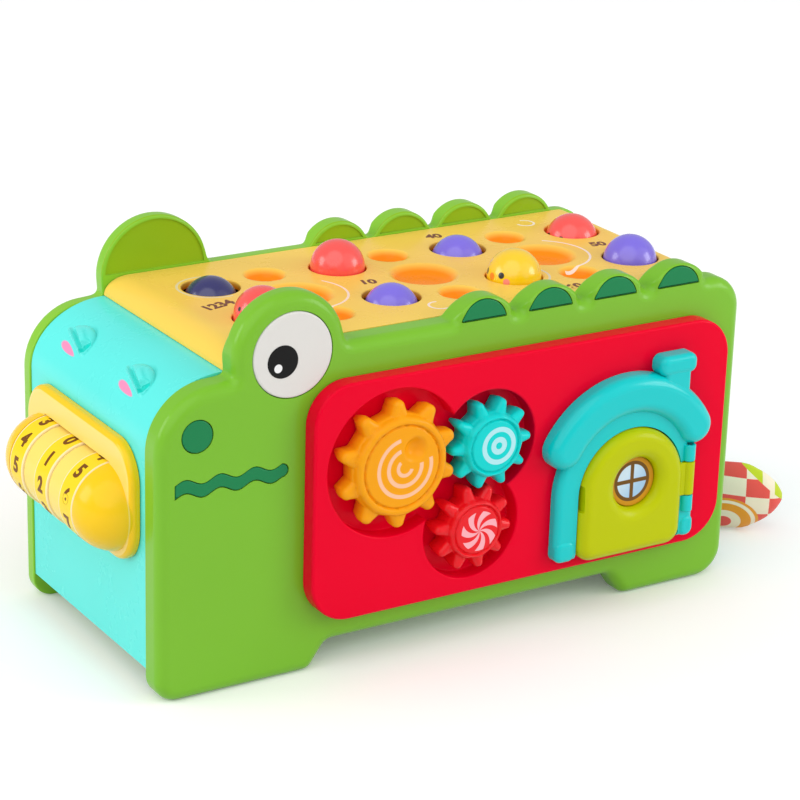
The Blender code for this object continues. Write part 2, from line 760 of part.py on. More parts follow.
def shell_inner_x(height):
    """X of the nose sheet's inner face at a height."""
    end = NOSE_X + DECK_FROM_NOSE - FIT_GAP
    run = end - SNOUT_X - SHELL_SET_BACK - SHELL_WALL
    foot = PANEL_HEIGHT - DECK_LIP_RISE - FIT_GAP - SHELL_BEND
    rise_share = max(0, height - foot) / (SHELL_BEND - SHELL_WALL)
    return end - run * math.sqrt(max(0, 1 - rise_share ** 2))


def bezel_outline(inset):
    """The bezel's rounded rectangle, seen from the front, with an inset."""
    low = (MIDDLE_Y - BEZEL_HALF_LENGTH + inset, BEZEL_BOTTOM + inset)
    high = (MIDDLE_Y + BEZEL_HALF_LENGTH - inset, BEZEL_BOTTOM + BEZEL_HEIGHT - inset)
    return rounded_box(low, high, BEZEL_CORNER - inset)


def make_nose_shell():
    """The cyan sheet that bends from the bottom of the nose up to the deck."""
    low, high = shell_sides()
    shell = prism("nose_shell", nose_profile(), low, high, "Y")
    window = prism(
        "nose_window", bezel_outline(BEZEL_LAND), SNOUT_X - OVERRUN, SNOUT_X + SHELL_WALL + OVERRUN, "X"
    )
    cut(shell, window)
    return finish(smooth(shell), CYAN)


def deck_profile():
    """The deck, seen from the side: a lip at the front, a flat top and a round rear edge."""
    start = NOSE_X + DECK_FROM_NOSE
    top = PANEL_HEIGHT
    lip = top - DECK_LIP_RISE
    rear = REAR_OUTER_X - DECK_REAR_ROUND
    rear_centre = top - DECK_REAR_ROUND
    steps = CORNER_STEPS
    outer = []
    inner = []
    for step in range(steps + 1):
        angle = math.pi / 2 * step / steps
        run = DECK_LIP_RUN * (1 - math.cos(angle))
        outer.append((start + run, lip + DECK_LIP_RISE * math.sin(angle)))
        inner_run = DECK_WALL + (DECK_LIP_RUN - DECK_WALL) * (1 - math.cos(angle))
        inner.append((start + inner_run, lip + (DECK_LIP_RISE - DECK_WALL) * math.sin(angle)))
    outer += arc((rear, rear_centre), DECK_REAR_ROUND, 90, 0, steps)
    inner += arc((rear, rear_centre), DECK_REAR_ROUND - DECK_WALL, 90, 0, steps)
    return outer + list(reversed(inner))


def mole_place(column, row):
    """X and Y of a mole; row is -1 for the near row and 1 for the far one."""
    return NOSE_X + MOLE_FIRST + MOLE_PITCH * column, MIDDLE_Y + MOLE_ROW_OFFSET * row


def dimple(name, place, radius):
    """A shallow dish: a sphere that meets the deck's top in a circle."""
    sphere_radius = (radius ** 2 + DIMPLE_DEPTH ** 2) / (2 * DIMPLE_DEPTH)
    height = PANEL_HEIGHT + sphere_radius - DIMPLE_DEPTH
    steps = SMALL_STEPS
    spread_share = 1.15
    reach = math.asin(radius / sphere_radius) * spread_share
    profile = [(0, PANEL_HEIGHT + OVERRUN)]
    rim = sphere_radius * math.sin(reach)
    profile.append((rim, PANEL_HEIGHT + OVERRUN))
    for step in range(DISH_STEPS):
        angle = reach * (1 - step / DISH_STEPS)
        profile.append((sphere_radius * math.sin(angle), height - sphere_radius * math.cos(angle)))
    profile.append((0, height - sphere_radius))
    piece = turned(name, profile, steps)
    piece.location = (place[0], place[1], 0)
    return piece


def make_deck():
    """The orange deck with its holes for the moles and its dimples."""
    low, high = shell_sides()
    deck = prism("deck_plate", deck_profile(), low, high, "Y")
    bottom = PANEL_HEIGHT - DECK_WALL - OVERRUN
    for column in range(MOLE_COLUMNS):
        for row in (-1, 1):
            hole = disc(
                f"mole_hole_{column}_{row}", mole_place(column, row), MOLE_RADIUS + MOLE_HOLE_GAP,
                bottom, PANEL_HEIGHT + OVERRUN, "Z",
            )
            cut(deck, hole)
            if column < MOLE_COLUMNS - 1:
                x, y = mole_place(column, row)
                small = (x + MOLE_PITCH / 2 - DIMPLE_SHIFT, y)
                cut(deck, dimple(f"small_dimple_{column}_{row}", small, SMALL_DIMPLE_RADIUS))
    for column in range(MOLE_COLUMNS - 1):
        x = mole_place(column, 0)[0] + MOLE_PITCH / 2 - DIMPLE_SHIFT
        cut(deck, dimple(f"large_dimple_{column}", (x, MIDDLE_Y), LARGE_DIMPLE_RADIUS))
    return finish(smooth(deck), DECK_ORANGE)


def tab_heights():
    """Lowest and highest point of the tail's tab."""
    return TAIL_TAB_BOTTOM, TAIL_TAB_BOTTOM + TAIL_TAB_HEIGHT


def make_rear_panel():
    """The upright panel at the tail end, with the slot for the tail's tab."""
    low, high = shell_sides()
    top = PANEL_HEIGHT - DECK_REAR_ROUND - FIT_GAP
    panel = block("rear_panel", (REAR_OUTER_X - REAR_WALL, low, BASE_Z), (REAR_OUTER_X, high, top))
    bottom, peak = tab_heights()
    half = TAIL_TAB_THICKNESS / 2 + FIT_GAP
    slot = block(
        "tail_slot",
        (REAR_OUTER_X - REAR_WALL - OVERRUN, MIDDLE_Y - half, bottom - FIT_GAP),
        (REAR_OUTER_X + OVERRUN, MIDDLE_Y + half, peak + FIT_GAP),
    )
    cut(panel, slot)
    return finish(panel, CYAN)


def make_base():
    """The flat underside between the two side panels."""
    low, high = shell_sides()
    front = SNOUT_X + SHELL_SET_BACK + SHELL_WALL + FIT_GAP
    rear = REAR_OUTER_X - REAR_WALL - FIT_GAP
    base = block("base_plate", (front, low, BASE_Z), (rear, high, BASE_Z + BASE_WALL))
    return finish(base, GREEN)


# Moles, rockers and what carries them
def rest_shift(column):
    """How far a column's moles stand from the middle of their stroke, the near one taken upwards."""
    stroke_shares = (0.50, -0.40, 0.36, 0.14)
    return MOLE_STROKE * stroke_shares[column]


def foot_height():
    """Lowest point of a mole's stem at the middle of its stroke."""
    return PIVOT_HEIGHT + ROCKER_RISE + ROCKER_REST_GAP


def mole_profile():
    """A dome, its skirt and flange, and a stem with a round foot, at the middle of the stroke."""
    centre = PANEL_HEIGHT + MOLE_MEAN_RISE - MOLE_RADIUS
    flange_top = centre - MOLE_SKIRT
    flange_bottom = flange_top - MOLE_FLANGE_THICKNESS
    dome = [(MOLE_RADIUS * math.cos(math.radians(angle)), centre + MOLE_RADIUS * math.sin(math.radians(angle)))
            for angle in (68, 46, 23, 0)]
    flange = MOLE_RADIUS + MOLE_FLANGE_OUT
    profile = [(0, centre + MOLE_RADIUS)] + dome
    profile += [(MOLE_RADIUS, flange_top), (flange, flange_top), (flange, flange_bottom)]
    profile += [(STEM_RADIUS, flange_bottom)]
    foot = foot_height() + STEM_RADIUS
    for angle in (0, 45):
        turn = math.radians(angle)
        profile.append((STEM_RADIUS * math.cos(turn), foot - STEM_RADIUS * math.sin(turn)))
    return profile + [(0, foot - STEM_RADIUS)]


def make_moles():
    """Eight moles, each on its own upright slide."""
    near_colours = (CORAL, PURPLE, CHICK_YELLOW, PURPLE)
    far_colours = (NAVY, CORAL, PURPLE, CORAL)
    for column in range(MOLE_COLUMNS):
        for row, side, colours in ((-1, "near", near_colours), (1, "far", far_colours)):
            x, y = mole_place(column, row)
            mole = turned(f"mole_{side}_{column + 1}", mole_profile(), MOLE_STEPS)
            mole.location = (x, y, -row * rest_shift(column))
            finish(mole, colours[column])


def make_rockers():
    """Four rockers on one shaft: as one mole of a pair goes down, the other comes up."""
    for column in range(MOLE_COLUMNS):
        x, y = mole_place(column, 0)
        reach = MOLE_ROW_OFFSET + ROCKER_OVERHANG
        beam = block(
            f"rocker_{column + 1}",
            (x - ROCKER_WIDTH / 2, y - reach, PIVOT_HEIGHT - ROCKER_RISE),
            (x + ROCKER_WIDTH / 2, y + reach, PIVOT_HEIGHT + ROCKER_RISE),
        )
        half = ROCKER_HUB_LENGTH / 2
        hub = disc(f"hub_{column}", (y, PIVOT_HEIGHT), ROCKER_HUB_RADIUS, x - half, x + half, "X")
        bore = disc(
            f"hub_bore_{column}", (y, PIVOT_HEIGHT), SHAFT_RADIUS + FIT_GAP,
            x - half - OVERRUN, x + half + OVERRUN, "X", SMALL_STEPS,
        )
        pivot = (x, y, PIVOT_HEIGHT)
        for solid in (beam, hub, bore):
            place_on_axis(solid, pivot)
            solid.rotation_euler.x = -rest_shift(column) / MOLE_ROW_OFFSET
        join(beam, hub)
        cut(beam, bore)
        finish(smooth(beam), INNER_WHITE)


def lug_places():
    """Where the rockers' shaft is carried: on both sides of each rocker's hub."""
    reach = ROCKER_HUB_LENGTH / 2 + RUN_GAP + LUG_THICKNESS / 2
    columns = [mole_place(column, 0)[0] for column in range(MOLE_COLUMNS)]
    return [x + side * reach for x in columns for side in (-1, 1)]


def make_guide_plate():
    """The plate that keeps the stems upright and carries the rockers' shaft on lugs."""
    low, high = shell_sides()
    rear = REAR_OUTER_X - REAR_WALL - FIT_GAP
    top = GUIDE_TOP
    front = shell_inner_x(top) + GUIDE_NOSE_GAP
    plate = block("mole_guide_plate", (front, low, GUIDE_HEIGHT), (rear, high, top))
    for index, x in enumerate(lug_places()):
        lug = block(
            f"lug_{index}",
            (x - LUG_THICKNESS / 2, MIDDLE_Y - LUG_WIDTH / 2, PIVOT_HEIGHT - LUG_BELOW_SHAFT),
            (x + LUG_THICKNESS / 2, MIDDLE_Y + LUG_WIDTH / 2, top - GUIDE_WALL / 2),
        )
        join(plate, lug)
    places = lug_places()
    half = LUG_THICKNESS / 2 + OVERRUN
    bore = disc(
        "shaft_bore", (MIDDLE_Y, PIVOT_HEIGHT), SHAFT_RADIUS + FIT_GAP,
        places[0] - half, places[-1] + half, "X", SMALL_STEPS,
    )
    cut(plate, bore)
    for column in range(MOLE_COLUMNS):
        for row in (-1, 1):
            hole = disc(
                f"stem_hole_{column}_{row}", mole_place(column, row), STEM_RADIUS + RUN_GAP,
                GUIDE_HEIGHT - OVERRUN, top + OVERRUN, "Z", SMALL_STEPS,
            )
            cut(plate, hole)
    finish(smooth(plate), INNER_WHITE)
    shaft = disc(
        "rocker_shaft", (MIDDLE_Y, PIVOT_HEIGHT), SHAFT_RADIUS,
        places[0] - LUG_THICKNESS, places[-1] + LUG_THICKNESS, "X", SMALL_STEPS,
    )
    finish(smooth(shaft), STEEL, 0.3, 1.0)


# Activity plates
def plate_outline(inset):
    """The plate's rounded rectangle with an inset."""
    top = PANEL_HEIGHT - PLATE_BELOW_TOP
    low = (PLATE_X + inset, top - PLATE_HEIGHT + inset)
    high = (PLATE_X + PLATE_LENGTH - inset, top - inset)
    return rounded_box(low, high, PLATE_CORNER - inset)


def gear_places():
    """Centre of each gear: the orange one drives the cyan one, and that the red one."""
    orange = Vector((ORANGE_X, ORANGE_HEIGHT))
    run = math.sqrt(CYAN_DISTANCE ** 2 - CYAN_RISE ** 2)
    cyan = orange + Vector((run, CYAN_RISE))
    drop = math.sqrt(RED_DISTANCE ** 2 - RED_FORWARD ** 2)
    red = cyan - Vector((RED_FORWARD, drop))
    return orange, cyan, red


def gear_pockets(margin, low, high, label):
    """Three discs that together make the gears' pocket, or the wall around it."""
    radii = (
        ORANGE_TIP + ORANGE_POCKET_MARGIN,
        CYAN_TIP + CYAN_POCKET_MARGIN,
        RED_TIP + RED_POCKET_MARGIN,
    )
    found = []
    for index, (place, pocket_radius) in enumerate(zip(gear_places(), radii)):
        radius = pocket_radius + margin
        found.append(disc(f"{label}_{index}", tuple(place), radius, low, high, "Y", FINE_STEPS))
    return found


def doorway_outline(margin):
    """The little room behind the door."""
    return arch(HOUSE_X, DOORWAY_HALF_WIDTH + margin, DOORWAY_BOTTOM - margin, DOOR_ARCH_HEIGHT, SMALL_STEPS)


def plate_body(side, name):
    """A plate that stands proud of a side, with a neck through the panel's opening, open behind."""
    front = side_y(side, -PLATE_PROUD)
    seat = side_y(side, -FIT_GAP)
    back = side_y(side, PLATE_NECK_DEPTH)
    plate = prism(name, plate_outline(0), min(front, seat), max(front, seat), "Y")
    round_rim(plate, front, "Y", PLATE_EDGE_ROUND, 3)
    middle = (front + seat) / 2
    neck = prism(f"{name}_neck", plate_outline(PLATE_NECK_INSET), min(middle, back), max(middle, back), "Y")
    join(plate, neck)
    inside = side_y(side, PLATE_WALL - PLATE_PROUD)
    past = side_y(side, PLATE_NECK_DEPTH + OVERRUN)
    inset = PLATE_NECK_INSET + PLATE_WALL
    hollow = prism(f"{name}_hollow", plate_outline(inset), min(inside, past), max(inside, past), "Y")
    return plate, hollow


def make_activity_panel():
    """The red plate with the gears' pocket, their shaft holes and the room behind the door."""
    plate, hollow = plate_body("near", "activity_panel")
    past = NEAR_Y + PLATE_NECK_DEPTH + OVERRUN * 2
    front = PLATE_FRONT_Y - OVERRUN
    for wall in gear_pockets(PLATE_WALL, front, past, "pocket_wall"):
        cut(hollow, wall)
    cut(hollow, prism("doorway_wall", doorway_outline(PLATE_WALL), front, past, "Y"))
    cut(plate, hollow)
    cut(plate, *gear_pockets(0, front, NEAR_Y, "pocket"))
    cut(plate, prism("doorway_room", doorway_outline(0), front, PLATE_FRONT_Y + DOORWAY_DEPTH, "Y"))
    for index, place in enumerate(gear_places()):
        radius = GEAR_SHAFT_RADIUS + FIT_GAP
        cut(plate, disc(f"gear_hole_{index}", tuple(place), radius, front, past, "Y", SMALL_STEPS))
    return finish(smooth(plate), PLATE_RED)


def make_far_plate():
    """A plain plate on the far side."""
    plate, hollow = plate_body("far", "far_cover_plate")
    cut(plate, hollow)
    return finish(smooth(plate), DECK_ORANGE)


# Gears
def gear_outline(centre, root, tip, root_half, tip_half, phase):
    """Teeth with straight flanks and elliptic tips, as a closed outline."""
    cap_share = 0.9
    cap = tip_half * cap_share
    points = []
    for tooth in range(GEAR_TEETH):
        angle = phase + 2 * math.pi * tooth / GEAR_TEETH
        local = [(math.sqrt(root ** 2 - root_half ** 2), -root_half)]
        for step in range(CORNER_STEPS + 1):
            turn = math.pi * (step / CORNER_STEPS - 0.5)
            local.append((tip - cap + cap * math.cos(turn), tip_half * math.sin(turn)))
        local.append((math.sqrt(root ** 2 - root_half ** 2), root_half))
        for out, across in local:
            a = centre[0] + out * math.cos(angle) - across * math.sin(angle)
            b = centre[1] + out * math.sin(angle) + across * math.cos(angle)
            points.append((a, b))
    return points


def gear_phases():
    """Turn of each gear so that a tooth of one stands in a gap of the next."""
    orange, cyan, red = gear_places()
    pitch = 2 * math.pi / GEAR_TEETH
    to_cyan = math.atan2(cyan[1] - orange[1], cyan[0] - orange[0])
    to_red = math.atan2(red[1] - cyan[1], red[0] - cyan[0])
    cyan_phase = to_cyan + math.pi
    lead = (cyan_phase - to_red) % pitch
    return to_cyan + pitch / 2, cyan_phase, to_red + math.pi - lead + pitch / 2


def gear_depths():
    """Y of the gears' back, of their teeth's front, of the hub's front and of the shaft's end."""
    back = NEAR_Y - GEAR_BACK_GAP
    front = back - GEAR_THICKNESS
    hub = front - HUB_PROUD
    shaft = NEAR_Y + PLATE_NECK_DEPTH + GEAR_SHAFT_PAST
    return back, front, hub, shaft


def make_gear(name, place, sizes, phase, colour):
    """A toothed disc with a raised hub in front and a shaft through the plate behind."""
    root, tip, root_half, tip_half = sizes
    back, front, hub_front, shaft_end = gear_depths()
    gear = prism(name, gear_outline(place, root, tip, root_half, tip_half, phase), front, back, "Y")
    round_rim(gear, front, "Y", GEAR_EDGE_ROUND, 1)
    hub_share = 0.93
    hub_radius = root * hub_share
    middle = (front + back) / 2
    hub = disc(f"{name}_hub", tuple(place), hub_radius, hub_front, middle, "Y", FINE_STEPS)
    shaft = disc(f"{name}_shaft", tuple(place), GEAR_SHAFT_RADIUS, middle, shaft_end, "Y", SMALL_STEPS)
    bore_radius = GEAR_SCREW_RADIUS + FIT_GAP
    bore_front = shaft_end - GEAR_SCREW_LENGTH
    bore = disc(f"{name}_bore", tuple(place), bore_radius, bore_front, shaft_end + OVERRUN, "Y", SMALL_STEPS)
    pivot = (place[0], NEAR_Y, place[1])
    for solid in (gear, hub, shaft, bore):
        place_on_axis(solid, pivot)
    join(gear, hub, shaft)
    cut(gear, bore)
    finish(smooth(gear), colour)
    make_gear_screw(f"{name}_screw", pivot, shaft_end)


def make_gear_screw(name, pivot, shaft_end):
    """A washer-headed screw that holds a gear from behind."""
    seat = shaft_end + FIT_GAP
    head = disc(
        name, (pivot[0], pivot[2]), GEAR_WASHER_RADIUS, seat, seat + GEAR_WASHER_THICKNESS, "Y", SMALL_STEPS
    )
    tip = shaft_end - GEAR_SCREW_LENGTH + FIT_GAP
    middle = seat + GEAR_WASHER_THICKNESS / 2
    shank = disc(f"{name}_shank", (pivot[0], pivot[2]), GEAR_SCREW_RADIUS, tip, middle, "Y", SMALL_STEPS)
    for solid in (head, shank):
        place_on_axis(solid, pivot)
    join(head, shank)
    finish(smooth(head), STEEL, 0.3, 1.0)


def make_gears():
    """The three gears."""
    orange, cyan, red = gear_places()
    phases = gear_phases()
    orange_sizes = (ORANGE_ROOT, ORANGE_TIP, ORANGE_ROOT_HALF_TOOTH, ORANGE_TIP_HALF_TOOTH)
    cyan_sizes = (CYAN_ROOT, CYAN_TIP, CYAN_ROOT_HALF_TOOTH, CYAN_TIP_HALF_TOOTH)
    red_sizes = (RED_ROOT, RED_TIP, RED_ROOT_HALF_TOOTH, RED_TIP_HALF_TOOTH)
    make_gear("gear_orange", orange, orange_sizes, phases[0], GEAR_ORANGE)
    make_gear("gear_cyan", cyan, cyan_sizes, phases[1], GEAR_CYAN)
    make_gear("gear_red", red, red_sizes, phases[2], GEAR_RED)


# House and door
def roof_outline():
    """An arched band with round ends."""
    centre = (HOUSE_X, ROOF_HEIGHT)
    inner = ROOF_RADIUS - ROOF_THICKNESS
    middle = (ROOF_RADIUS + inner) / 2
    half = ROOF_THICKNESS / 2
    points = arc(centre, ROOF_RADIUS, ROOF_END_ANGLE, 180 - ROOF_END_ANGLE, ROUND_STEPS)
    left_end = 180 - ROOF_END_ANGLE
    for angle, start in ((left_end, left_end), (ROOF_END_ANGLE, ROOF_END_ANGLE - 180)):
        turn = math.radians(angle)
        end = (centre[0] + middle * math.cos(turn), centre[1] + middle * math.sin(turn))
        points += arc(end, half, start, start + 180, CORNER_STEPS)[1:-1]
        if angle > 90:
            points += arc(centre, inner, 180 - ROOF_END_ANGLE, ROOF_END_ANGLE, ROUND_STEPS)
    return points


def hinge_heights():
    """Knuckle bottom and top, and the ends of the two lugs."""
    top = KNUCKLE_BOTTOM + KNUCKLE_LENGTH
    return KNUCKLE_BOTTOM, top, KNUCKLE_BOTTOM - HINGE_GAP - LUG_LENGTH, top + HINGE_GAP + LUG_LENGTH


def make_house_frame():
    """Walls around the door, an arched roof, a chimney and the hinge's two lugs."""
    back = PLATE_FRONT_Y - FIT_GAP
    wall_front = PLATE_FRONT_Y - HOUSE_WALL_DEPTH
    walls = arch(HOUSE_X, HOUSE_HALF_WIDTH, HOUSE_BOTTOM, DOOR_ARCH_HEIGHT, ROUND_STEPS, POST_CORNER)
    frame = prism("house_frame", walls, wall_front, back, "Y")
    opening = arch(
        DOOR_X, DOOR_HALF_WIDTH + DOOR_SIDE_GAP, HOUSE_BOTTOM - OVERRUN, DOOR_ARCH_HEIGHT, ROUND_STEPS
    )
    roof_front = PLATE_FRONT_Y - ROOF_DEPTH
    roof = prism("roof", roof_outline(), roof_front, back, "Y")
    round_rim(roof, roof_front, "Y", ROOF_EDGE_ROUND, 3)
    join(frame, roof, *chimney_parts(back))
    cut(frame, prism("door_opening", opening, roof_front - OVERRUN, back + OVERRUN, "Y"))
    add_hinge_lugs(frame)
    return finish(smooth(frame), HOUSE_CYAN)


def chimney_parts(back):
    """The chimney's stack and its wider cap."""
    front = PLATE_FRONT_Y - CHIMNEY_DEPTH
    x = HOUSE_X + CHIMNEY_FORWARD
    cap_bottom = CHIMNEY_TOP
    cap_top = CHIMNEY_TOP + CHIMNEY_CAP_HEIGHT
    stack = block(
        "chimney_stack",
        (x - CHIMNEY_HALF_WIDTH, front + FIT_GAP, ROOF_HEIGHT + ROOF_RADIUS - ROOF_THICKNESS),
        (x + CHIMNEY_HALF_WIDTH, back, cap_bottom + CHIMNEY_CAP_HEIGHT / 2),
    )
    low = (x - CHIMNEY_CAP_HALF_WIDTH, cap_bottom)
    high = (x + CHIMNEY_CAP_HALF_WIDTH, cap_top)
    outline = rounded_box(low, high, CHIMNEY_CAP_HEIGHT / 3)
    return stack, prism("chimney_cap", outline, front, back, "Y")


def add_hinge_lugs(frame):
    """Two lugs on the post, with the notch between them for the door's knuckle and the pin's bore."""
    bottom, top, lug_bottom, lug_top = hinge_heights()
    gap = HINGE_GAP
    place = (HINGE_X, HINGE_Y)
    join(frame, disc("lower_lug", place, KNUCKLE_RADIUS, lug_bottom, bottom - gap, "Z", SMALL_STEPS))
    join(frame, disc("upper_lug", place, KNUCKLE_RADIUS, top + gap, lug_top, "Z", SMALL_STEPS))
    reach = KNUCKLE_RADIUS + RUN_GAP
    notch = block(
        "knuckle_notch",
        (HINGE_X - HINGE_OUT, HINGE_Y - reach * 2, bottom - gap),
        (HINGE_X + reach, PLATE_FRONT_Y + OVERRUN, top + gap),
    )
    pin_end = PIN_RADIUS
    bore = disc(
        "pin_bore", place, PIN_RADIUS + FIT_GAP, lug_bottom + pin_end, lug_top + OVERRUN, "Z", SMALL_STEPS
    )
    cut(frame, notch, bore)
    pin_low = lug_bottom + pin_end + FIT_GAP
    pin = disc("door_hinge_pin", place, PIN_RADIUS, pin_low, lug_top - FIT_GAP, "Z", SMALL_STEPS)
    finish(smooth(pin), STEEL, 0.3, 1.0)


def make_door():
    """The lime door with its dished round window, finger notch and hinge knuckle."""
    outline = arch(DOOR_X, DOOR_HALF_WIDTH, DOOR_BOTTOM, DOOR_ARCH_HEIGHT, ROUND_STEPS, DOOR_CORNER)
    door = prism("house_door", outline, DOOR_FRONT_Y, DOOR_BACK_Y, "Y")
    round_rim(door, DOOR_FRONT_Y, "Y", DOOR_EDGE_ROUND, 3)
    centre = (DOOR_X + WINDOW_FORWARD, DOOR_HOLE_HEIGHT)
    bottom, top, _, _ = hinge_heights()
    axis = (HINGE_X, HINGE_Y)
    knuckle = disc("knuckle", axis, KNUCKLE_RADIUS, bottom, top, "Z", SMALL_STEPS)
    arm = block(
        "knuckle_arm",
        (DOOR_X + DOOR_HALF_WIDTH - HINGE_OUT, HINGE_Y - KNUCKLE_RADIUS / 2, bottom),
        (HINGE_X, HINGE_Y + KNUCKLE_RADIUS / 2, top),
    )
    pin_bore = disc(
        "knuckle_bore", axis, PIN_RADIUS + FIT_GAP, bottom - OVERRUN, top + OVERRUN, "Z", SMALL_STEPS
    )
    dish = disc(
        "dish", centre, DOOR_DISH_RADIUS, DOOR_FRONT_Y - FIT_GAP, DOOR_FRONT_Y + DOOR_DISH_DEPTH, "Y",
        FINE_STEPS, DOOR_HOLE_RADIUS,
    )
    floor = DOOR_BACK_Y - WINDOW_FLOOR
    hole = disc("window_hole", centre, DOOR_HOLE_RADIUS, DOOR_FRONT_Y - OVERRUN, floor, "Y", FINE_STEPS)
    left = DOOR_X - DOOR_HALF_WIDTH
    notch = block(
        "finger_notch",
        (left - OVERRUN, DOOR_FRONT_Y - OVERRUN, NOTCH_HEIGHT - NOTCH_HALF_LENGTH),
        (left + NOTCH_DEPTH, DOOR_BACK_Y + OVERRUN, NOTCH_HEIGHT + NOTCH_HALF_LENGTH),
    )
    window_front = DOOR_FRONT_Y + WINDOW_SUNK
    window_radius = DOOR_HOLE_RADIUS - FIT_GAP
    window = disc("door_window", centre, window_radius, window_front, floor - FIT_GAP, "Y", FINE_STEPS)
    pivot = (HINGE_X, HINGE_Y, bottom)
    for solid in (door, knuckle, arm, pin_bore, dish, hole, notch, window):
        place_on_axis(solid, pivot)
    join(door, arm, knuckle)
    cut(door, pin_bore, dish, hole, notch)
    finish(smooth(door), DOOR_LIME)
    finish(smooth(window), OCHRE)


# Number rings
def ring_spans():
    """Y of both ends of each ring and each spacer, in order from the near end."""
    length = BARREL_HALF_LENGTH * 2
    spacer_width = (length - 3 * RING_WIDTH) / 2
    spans = []
    start = MIDDLE_Y - BARREL_HALF_LENGTH
    for index in range(5):
        width = RING_WIDTH if index % 2 == 0 else spacer_width
        spans.append((start + FIT_GAP / 2, start + width - FIT_GAP / 2))
        start += width
    return spans


def make_rings():
    """Three turning rings with two fixed spacers between them, on one axle."""
    names = ("number_ring_1", "ring_spacer_1", "number_ring_2", "ring_spacer_2", "number_ring_3")
    for index, (name, (low, high)) in enumerate(zip(names, ring_spans())):
        turning = index % 2 == 0
        radius = BARREL_RADIUS if turning else BARREL_RADIUS - RING_STEP_DOWN
        ring = disc(name, (BARREL_X, BARREL_HEIGHT), radius, low, high, "Y", FINE_STEPS)
        bore = disc(
            f"{name}_bore", (BARREL_X, BARREL_HEIGHT), RING_AXLE_RADIUS + FIT_GAP,
            low - OVERRUN, high + OVERRUN, "Y", SMALL_STEPS,
        )
        for solid in (ring, bore):
            place_on_axis(solid, (BARREL_X, (low + high) / 2, BARREL_HEIGHT))
        cut(ring, bore)
        finish(smooth(ring), ROLLER_YELLOW if turning else BAND_YELLOW)
    reach = BARREL_HALF_LENGTH + BARREL_RADIUS / 2
    axle = disc(
        "roller_axle", (BARREL_X, BARREL_HEIGHT), RING_AXLE_RADIUS,
        MIDDLE_Y - reach + FIT_GAP, MIDDLE_Y + reach - FIT_GAP, "Y", SMALL_STEPS,
    )
    finish(smooth(axle), STEEL, 0.3, 1.0)


def make_bezel():
    """The yellow plate on the nose, with a dome at each end of the rings."""
    front = NOSE_X - BEZEL_PROUD
    back = SNOUT_X + SHELL_SET_BACK - FIT_GAP
    bezel = prism("roller_bezel", bezel_outline(0), front, back, "X")
    round_rim(bezel, front, "X", BEZEL_EDGE_ROUND, 3)
    for side in (-1, 1):
        end = MIDDLE_Y + side * BARREL_HALF_LENGTH
        dome = ball(f"dome_{side}", (BARREL_X, end, BARREL_HEIGHT), BARREL_RADIUS)
        behind = disc(
            f"dome_back_{side}", (end, BARREL_HEIGHT), BARREL_RADIUS * 2,
            back - FIT_GAP / 2, back + BARREL_RADIUS, "X",
        )
        cut(dome, behind)
        join(bezel, dome)
    half = BARREL_HALF_LENGTH + FIT_GAP
    clearance = BARREL_RADIUS + RUN_GAP
    window = block(
        "roller_window",
        (BARREL_X - clearance * 2, MIDDLE_Y - half, BARREL_HEIGHT - clearance),
        (BARREL_X + clearance * 2, MIDDLE_Y + half, BARREL_HEIGHT + clearance),
    )
    reach = BARREL_HALF_LENGTH + BARREL_RADIUS / 2
    bore = disc(
        "axle_bore", (BARREL_X, BARREL_HEIGHT), RING_AXLE_RADIUS + FIT_GAP,
        MIDDLE_Y - reach, MIDDLE_Y + reach, "Y", SMALL_STEPS,
    )
    cut(bezel, window, bore)
    return finish(smooth(bezel), ROLLER_YELLOW)


# Tail
def tail_stations():
    """Middle, height and thickness of the tail along its length, the tab first, all from its main sizes."""
    tab_middle = TAIL_TAB_BOTTOM + TAIL_TAB_HEIGHT / 2
    body_middle = TAIL_GROUND_GAP + TAIL_HEIGHT / 2
    out = TAIL_OUT + REAR_SET_BACK
    stations = [
        (REAR_OUTER_X - TAIL_TAB_LENGTH, MIDDLE_Y, tab_middle, TAIL_TAB_HEIGHT, TAIL_TAB_THICKNESS),
        (REAR_OUTER_X, MIDDLE_Y, tab_middle, TAIL_TAB_HEIGHT, TAIL_TAB_THICKNESS),
        (REAR_OUTER_X + TAIL_NECK, MIDDLE_Y, tab_middle, TAIL_TAB_HEIGHT, TAIL_TAB_THICKNESS),
    ]
    along_shares = (0.10, 0.25, 0.42, 0.60, 0.76, 0.89, 0.965)
    height_shares = (0.76, 0.88, 0.97, 1.00, 0.93, 0.72, 0.42)
    thickness_shares = (0.55, 0.88, 0.98, 1.00, 0.95, 0.78, 0.48)
    settle_shares = (0.25, 0.55, 0.85, 1.00, 1.00, 1.00, 1.00)
    side_shares = (0.05, 0.20, 0.40, 0.60, 0.78, 0.91, 0.98)
    for along, height, thick, settle, side in zip(
        along_shares, height_shares, thickness_shares, settle_shares, side_shares
    ):
        middle = tab_middle + (body_middle - tab_middle) * settle
        place = (REAR_OUTER_X + out * along, MIDDLE_Y - TAIL_SIDE * side, middle)
        stations.append((*place, TAIL_HEIGHT * height, TAIL_THICKNESS * thick))
    return stations


def pillow_section(height, thickness, count):
    """Points of a crowned section: full in the middle and drawn in to a seam at the top and bottom."""
    points = []
    for step in range(count):
        angle = 2 * math.pi * step / count
        across = math.cos(angle)
        up = math.sin(angle)
        crown = math.copysign(abs(across) ** TAIL_CROWN_POWER, across)
        drawn = math.copysign(abs(up) ** TAIL_SEAM_POWER, up)
        points.append((thickness / 2 * crown, height / 2 * drawn))
    return points


